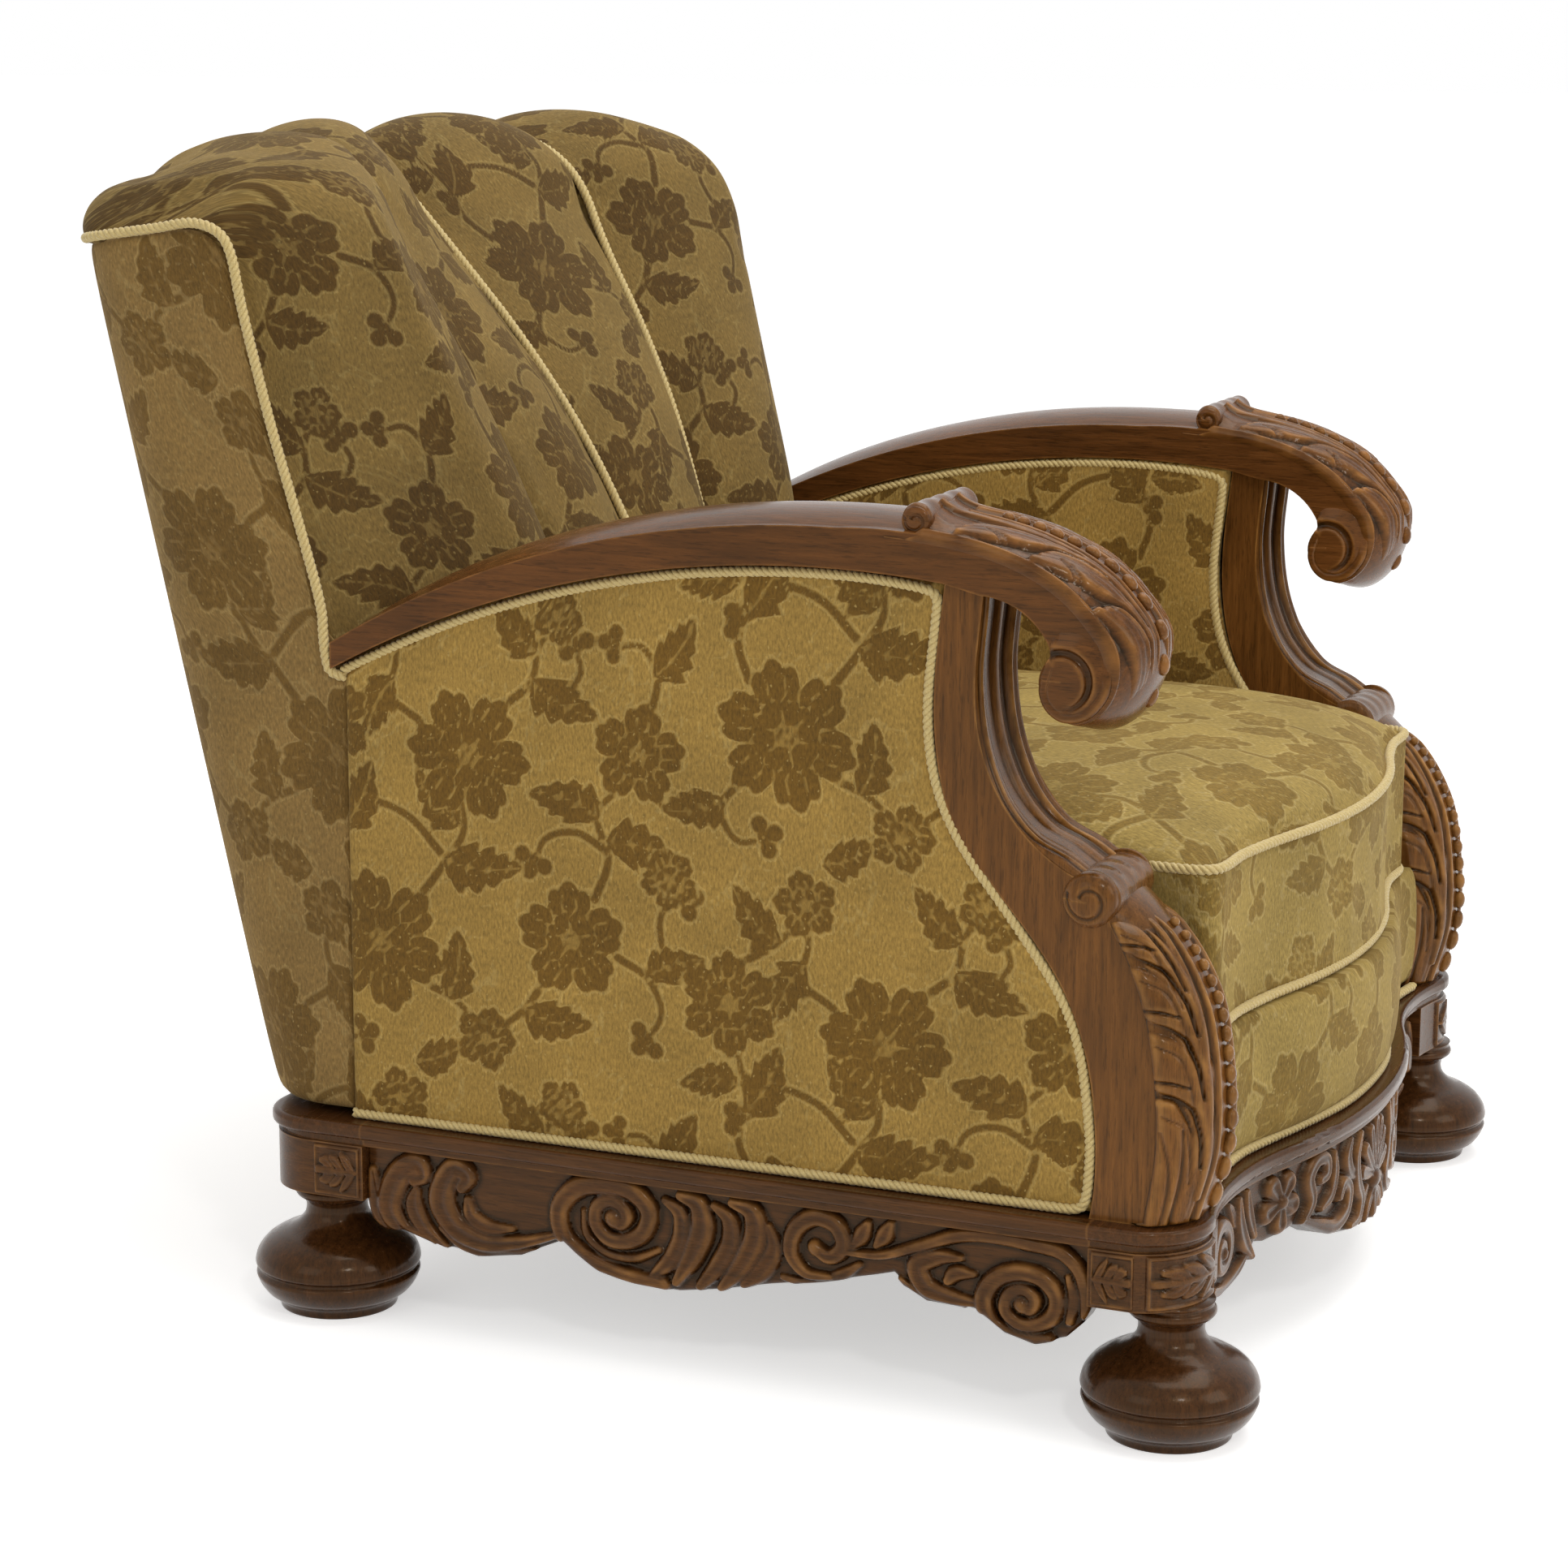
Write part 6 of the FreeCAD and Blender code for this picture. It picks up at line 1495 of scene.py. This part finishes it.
# %% [markdown]
# ## Bun feet
# The feet are turned on a lathe: a wide bun with a groove round it, a hollow neck and a thin ring under the block. A
# profile swept round the foot's middle makes them, as a turner's gauge would.

# %% Turned feet
gauge = smooth_line([(41, 0), (42.5, 5), (51, 12), (56.6, 21), (57.6, 25), (55.2, 27.6), (55.2, 28.4), (57.8, 31),
                     (57.4, 37), (52, 46), (42, 53), (33, 57), (27, 61), (22.5, 67), (21.6, 73), (23.4, 78),
                     (27.4, 80.5), (29, 83), (28.4, 86), (26.8, 87.5), (28, 91)], 110)
# The radius is the height given for colour, so the rings' edges are painted pale (wear and painted highlight) and the
# grooves dark (old wax and painted shade).
columns = 97
a, radius = np.meshgrid(np.linspace(0, 2 * np.pi, columns), gauge[:, 0])
height = np.repeat(gauge[:, 1:], columns, axis=1)
for hand in ("right", "left"):
    for end in ("front", "rear"):
        low, high = (np.array(corner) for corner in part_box(hand + "_" + end + "_foot"))
        middle = (low + high) / 2 * 1000.0
        middle[1] -= 1000.0 * feet_middle_y
        ring = np.stack([middle[0] + radius * np.cos(a), middle[1] + radius * np.sin(a), height], -1)
        core = np.stack([middle[0] + 0 * a, middle[1] + 0 * a, height], -1)
        board = carved_board(hand + "_" + end + "_turned_foot", ring, core, 0.45 * radius, oak_foot,
                             [hand + "_" + end + "_foot"])
print("turned foot", len(board.data.polygons), "faces")

# %% [markdown]
# ## Strings of beads
# Long carved beads run down the middle of both leaves, growing towards the floor. Geometry Nodes set one small rounded
# bead on each point of the line, turned along it and scaled by a size that the points carry.

# %% Beads by Geometry Nodes
bead_tree = bpy.data.node_groups.new("bead_string", "GeometryNodeTree")
sockets = bead_tree.interface
sockets.new_socket("Geometry", in_out="INPUT", socket_type="NodeSocketGeometry")
sockets.new_socket("Wood", in_out="INPUT", socket_type="NodeSocketMaterial")
sockets.new_socket("Bead radius", in_out="INPUT", socket_type="NodeSocketFloat").default_value = 0.001
sockets.new_socket("Geometry", in_out="OUTPUT", socket_type="NodeSocketGeometry")
given = add(bead_tree, "NodeGroupInput").outputs
bead = add(bead_tree, "GeometryNodeMeshUVSphere", {"Segments": 10, "Rings": 7, "Radius": given["Bead radius"]})
bead = add(bead_tree, "GeometryNodeSetShadeSmooth", {0: bead.outputs[0]})
size = add(bead_tree, "GeometryNodeInputNamedAttribute", {"Name": "size"}, data_type="FLOAT_VECTOR").outputs[0]
along_line = add(bead_tree, "GeometryNodeInputNamedAttribute", {"Name": "way"}, data_type="FLOAT_VECTOR").outputs[0]
turned = add(bead_tree, "FunctionNodeAlignRotationToVector", {"Vector": along_line}, axis="Z").outputs[0]
placed = add(bead_tree, "GeometryNodeInstanceOnPoints",
             {"Points": given["Geometry"], "Instance": bead.outputs[0], "Rotation": turned, "Scale": size})
real = add(bead_tree, "GeometryNodeRealizeInstances", {0: placed.outputs[0]})
dressed = add(bead_tree, "GeometryNodeSetMaterial", {"Geometry": real.outputs[0], "Material": given["Wood"]})
add(bead_tree, "NodeGroupOutput", {0: dressed.outputs[0]})


def string_beads(name, places, ways, sizes, wood):
    """Beads at places, long side along ways, with (across, across, along) half sizes in mm, painted pale all over
    as wear and painted highlight.
    """
    points = bpy.data.meshes.new(name)
    points.from_pydata(at(places).tolist(), [], [])
    for label, values in (("size", np.asarray(sizes, float)), ("way", np.asarray(ways, float))):
        layer = points.attributes.new(label, "FLOAT_VECTOR", "POINT")
        layer.data.foreach_set("vector", values.astype(np.float32).ravel())
    holder = bpy.data.objects.new(name, points)
    scene.collection.objects.link(holder)
    string = holder.modifiers.new("string", "NODES")
    string.node_group = bead_tree
    for item in bead_tree.interface.items_tree:
        if item.item_type == "SOCKET" and item.in_out == "INPUT" and item.name != "Geometry":
            string[item.identifier] = wood if item.name == "Wood" else item.default_value
    baked(holder)
    layer = holder.data.attributes.new("wear_and_highlight", "FLOAT", "POINT")
    layer.data.foreach_set("value", np.full(len(holder.data.vertices), 0.75, np.float32))
    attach(holder, "chair")
    return holder


def bead_spots(first, last, small, large):
    """Places along a run for beads that grow from small to large, in mm of half length."""
    spots, here = [], first
    while here < last:
        half = small + (large - small) * (here - first) / (last - first)
        spots.append((here + half, half))
        here += 2 * half + 1.2
    return np.array(spots)


arm_beads = bead_spots(58.0, 234.0, 4.2, 8.5)
arm_top = np.stack([np.interp(arm_beads[:, 0], arm_run, (arm_line + arm_out * (arm_crown + 2.8)[:, None])[:, k])
                    for k in (0, 1)], -1)
arm_way = np.stack([np.interp(arm_beads[:, 0], arm_run, way[:, k]) for k in (0, 1)], -1)
post_beads = bead_spots(4.0, 190.0, 8.8, 3.2)
post_front = post_line[:, 1] - post_line[:, 2] - 2.6
post_y = np.interp(post_low + post_beads[:, 0], post_line[:, 0], post_front)
post_way = np.gradient(post_y, post_beads[:, 0])
for side, hand in hands:
    places = np.column_stack([np.full(len(arm_top), side * arm_middle), arm_top])
    string_beads(hand + "_arm_beads", places, np.column_stack([np.zeros(len(arm_way)), arm_way]),
                 np.column_stack([arm_beads[:, 1] * 0.35 + 2.6, arm_beads[:, 1] * 0.3 + 2.2, arm_beads[:, 1]]),
                 oak_along)
    places = np.column_stack([np.full(len(post_y), side * post_middle), post_y, post_low + post_beads[:, 0]])
    string_beads(hand + "_post_beads", places,
                 np.column_stack([np.zeros(len(post_y)), post_way, np.ones(len(post_y))]),
                 np.column_stack([post_beads[:, 1] * 0.4 + 2.6, post_beads[:, 1] * 0.3 + 2.2, post_beads[:, 1]]),
                 oak_upright)
print("beads", len(arm_beads), "on an arm and", len(post_beads), "on a post")

# %% [markdown]
# ## Volutes of the arms
# On both cheeks of the scroll a round disc stands free of the arm, with a deep crescent cut that winds round it.
# A polar grid about the volute's eye takes the same height field as the flat boards.

# %% Volute cheeks
turns, rings = 120, 44
a, r = np.meshgrid(np.linspace(0, 2 * np.pi, turns), np.linspace(0, 1, rings))
eye_y, eye_z = -236.0, 492.0
outline = np.array([(-269, 498), (-268, 486), (-262, 476), (-254, 468.5), (-245, 465.5), (-236, 465.5), (-228, 470),
                    (-222, 479), (-221, 489), (-223, 499), (-228, 507), (-229, 520), (-234, 524), (-246, 524),
                    (-256, 520), (-263, 512), (-267, 505), (-269, 498)], float)
bearing = np.unwrap(np.arctan2(outline[:, 1] - eye_z, outline[:, 0] - eye_y)) % (2 * np.pi)
reach = np.hypot(outline[:, 1] - eye_z, outline[:, 0] - eye_y)
order = np.argsort(bearing)
limit = np.interp(a, np.concatenate([bearing[order] - 2 * np.pi, bearing[order], bearing[order] + 2 * np.pi]),
                  np.tile(reach[order], 3))
limit = np.minimum(limit - 0.6, 46.0)
dist = r * limit
degrees_round = np.degrees(a) % 360
around = (degrees_round - 62) % 360
cut_deep = np.interp(around, [0, 130, 185, 205, 345, 360], [1, 1, 0.5, 0, 0, 1])
groove = cut_deep * np.exp(-((dist - 18.0) / np.interp(around, [0, 90, 200], [2.6, 3.0, 1.6])) ** 4)
opening = np.clip((degrees_round - 36) / 30, 0, 1) * np.clip((192 - degrees_round) / 30, 0, 1)
opening = opening ** 2 * (3 - 2 * opening)
stand = 1 - opening * np.clip((dist - 22.0) / np.maximum(limit - 23.0, 1.0), 0, 1)
relief = 4.2 * stand * np.clip((limit - dist) / 2.5 + opening, 0, 1) ** 0.5 - 4.0 * groove
relief -= 0.9 * np.exp(-((limit - dist - 6.5) / 0.9) ** 2) * (1 - opening)
relief[-1] = -1.0
for side, hand in hands:
    for cheek, face_x in (("outer", 364.0), ("inner", 268.0)):
        outward = side if cheek == "outer" else -side
        y, z = eye_y + dist * np.cos(a), eye_z + dist * np.sin(a)
        face = np.stack([side * face_x + outward * relief * 0.75, y, z], -1)
        back = np.stack([np.full(a.shape, side * face_x - outward * 3.0), y, z], -1)
        board = carved_board(hand + "_" + cheek + "_volute", face, back, relief, oak_along)
print("volute cheeks", len(board.data.polygons), "faces each")

# %% [markdown]
# ## Finishes of the frame
# The show wood that keeps its solid gets oak with the grain along the piece, and the hidden frame gets beech,
# webbing, hessian and steel.

# %% Finishes for the solids that stay
webbing = thread_cloth("jute_webbing", 420.0, "#6E5A3A", "#A58C5E", 0.95, (0.5, 0.001))
steel, tree, shader = new_material("drawn_spring_steel")
shader.inputs["Base Color"].default_value = colour("#9A948A")
shader.inputs["Metallic"].default_value = 1.0
place = add(tree, "ShaderNodeTexCoord").outputs["Object"]
streak = add(tree, "ShaderNodeTexNoise", {"Vector": place, "Scale": 300.0, "Detail": 2.0})
rough = add(tree, "ShaderNodeMapRange", {0: streak.outputs[0], 3: 0.3, 4: 0.5})
tree.links.new(rough.outputs[0], shader.inputs["Roughness"])
finish_of = {"oak": oak_along, "dark_oak": oak_foot, "beech": beech, "webbing": webbing, "hessian": webbing,
             "spring_steel": steel, "upholstery": lining, "rope": gold_cord}
uprights = ("arm_post",)
base_wood = ("block", "ledge", "apron")
crosswise = ("front_apron", "rear_apron", "front_ledge", "rear_ledge")
slot_of = {entry["node"]: entry["material_slot"] for entry in frame["record"]["subparts"]}
for name, node in frame["nodes"].items():
    finish = finish_of[slot_of[name]]
    if finish is oak_along and name.endswith(uprights):
        finish = oak_upright
    elif finish is oak_along and name in crosswise:
        finish = oak_across
    elif finish is oak_along and name.endswith(base_wood):
        finish = oak_base
    node.data.materials.clear()
    node.data.materials.append(finish)
print("slots", sorted(set(slot_of.values())))
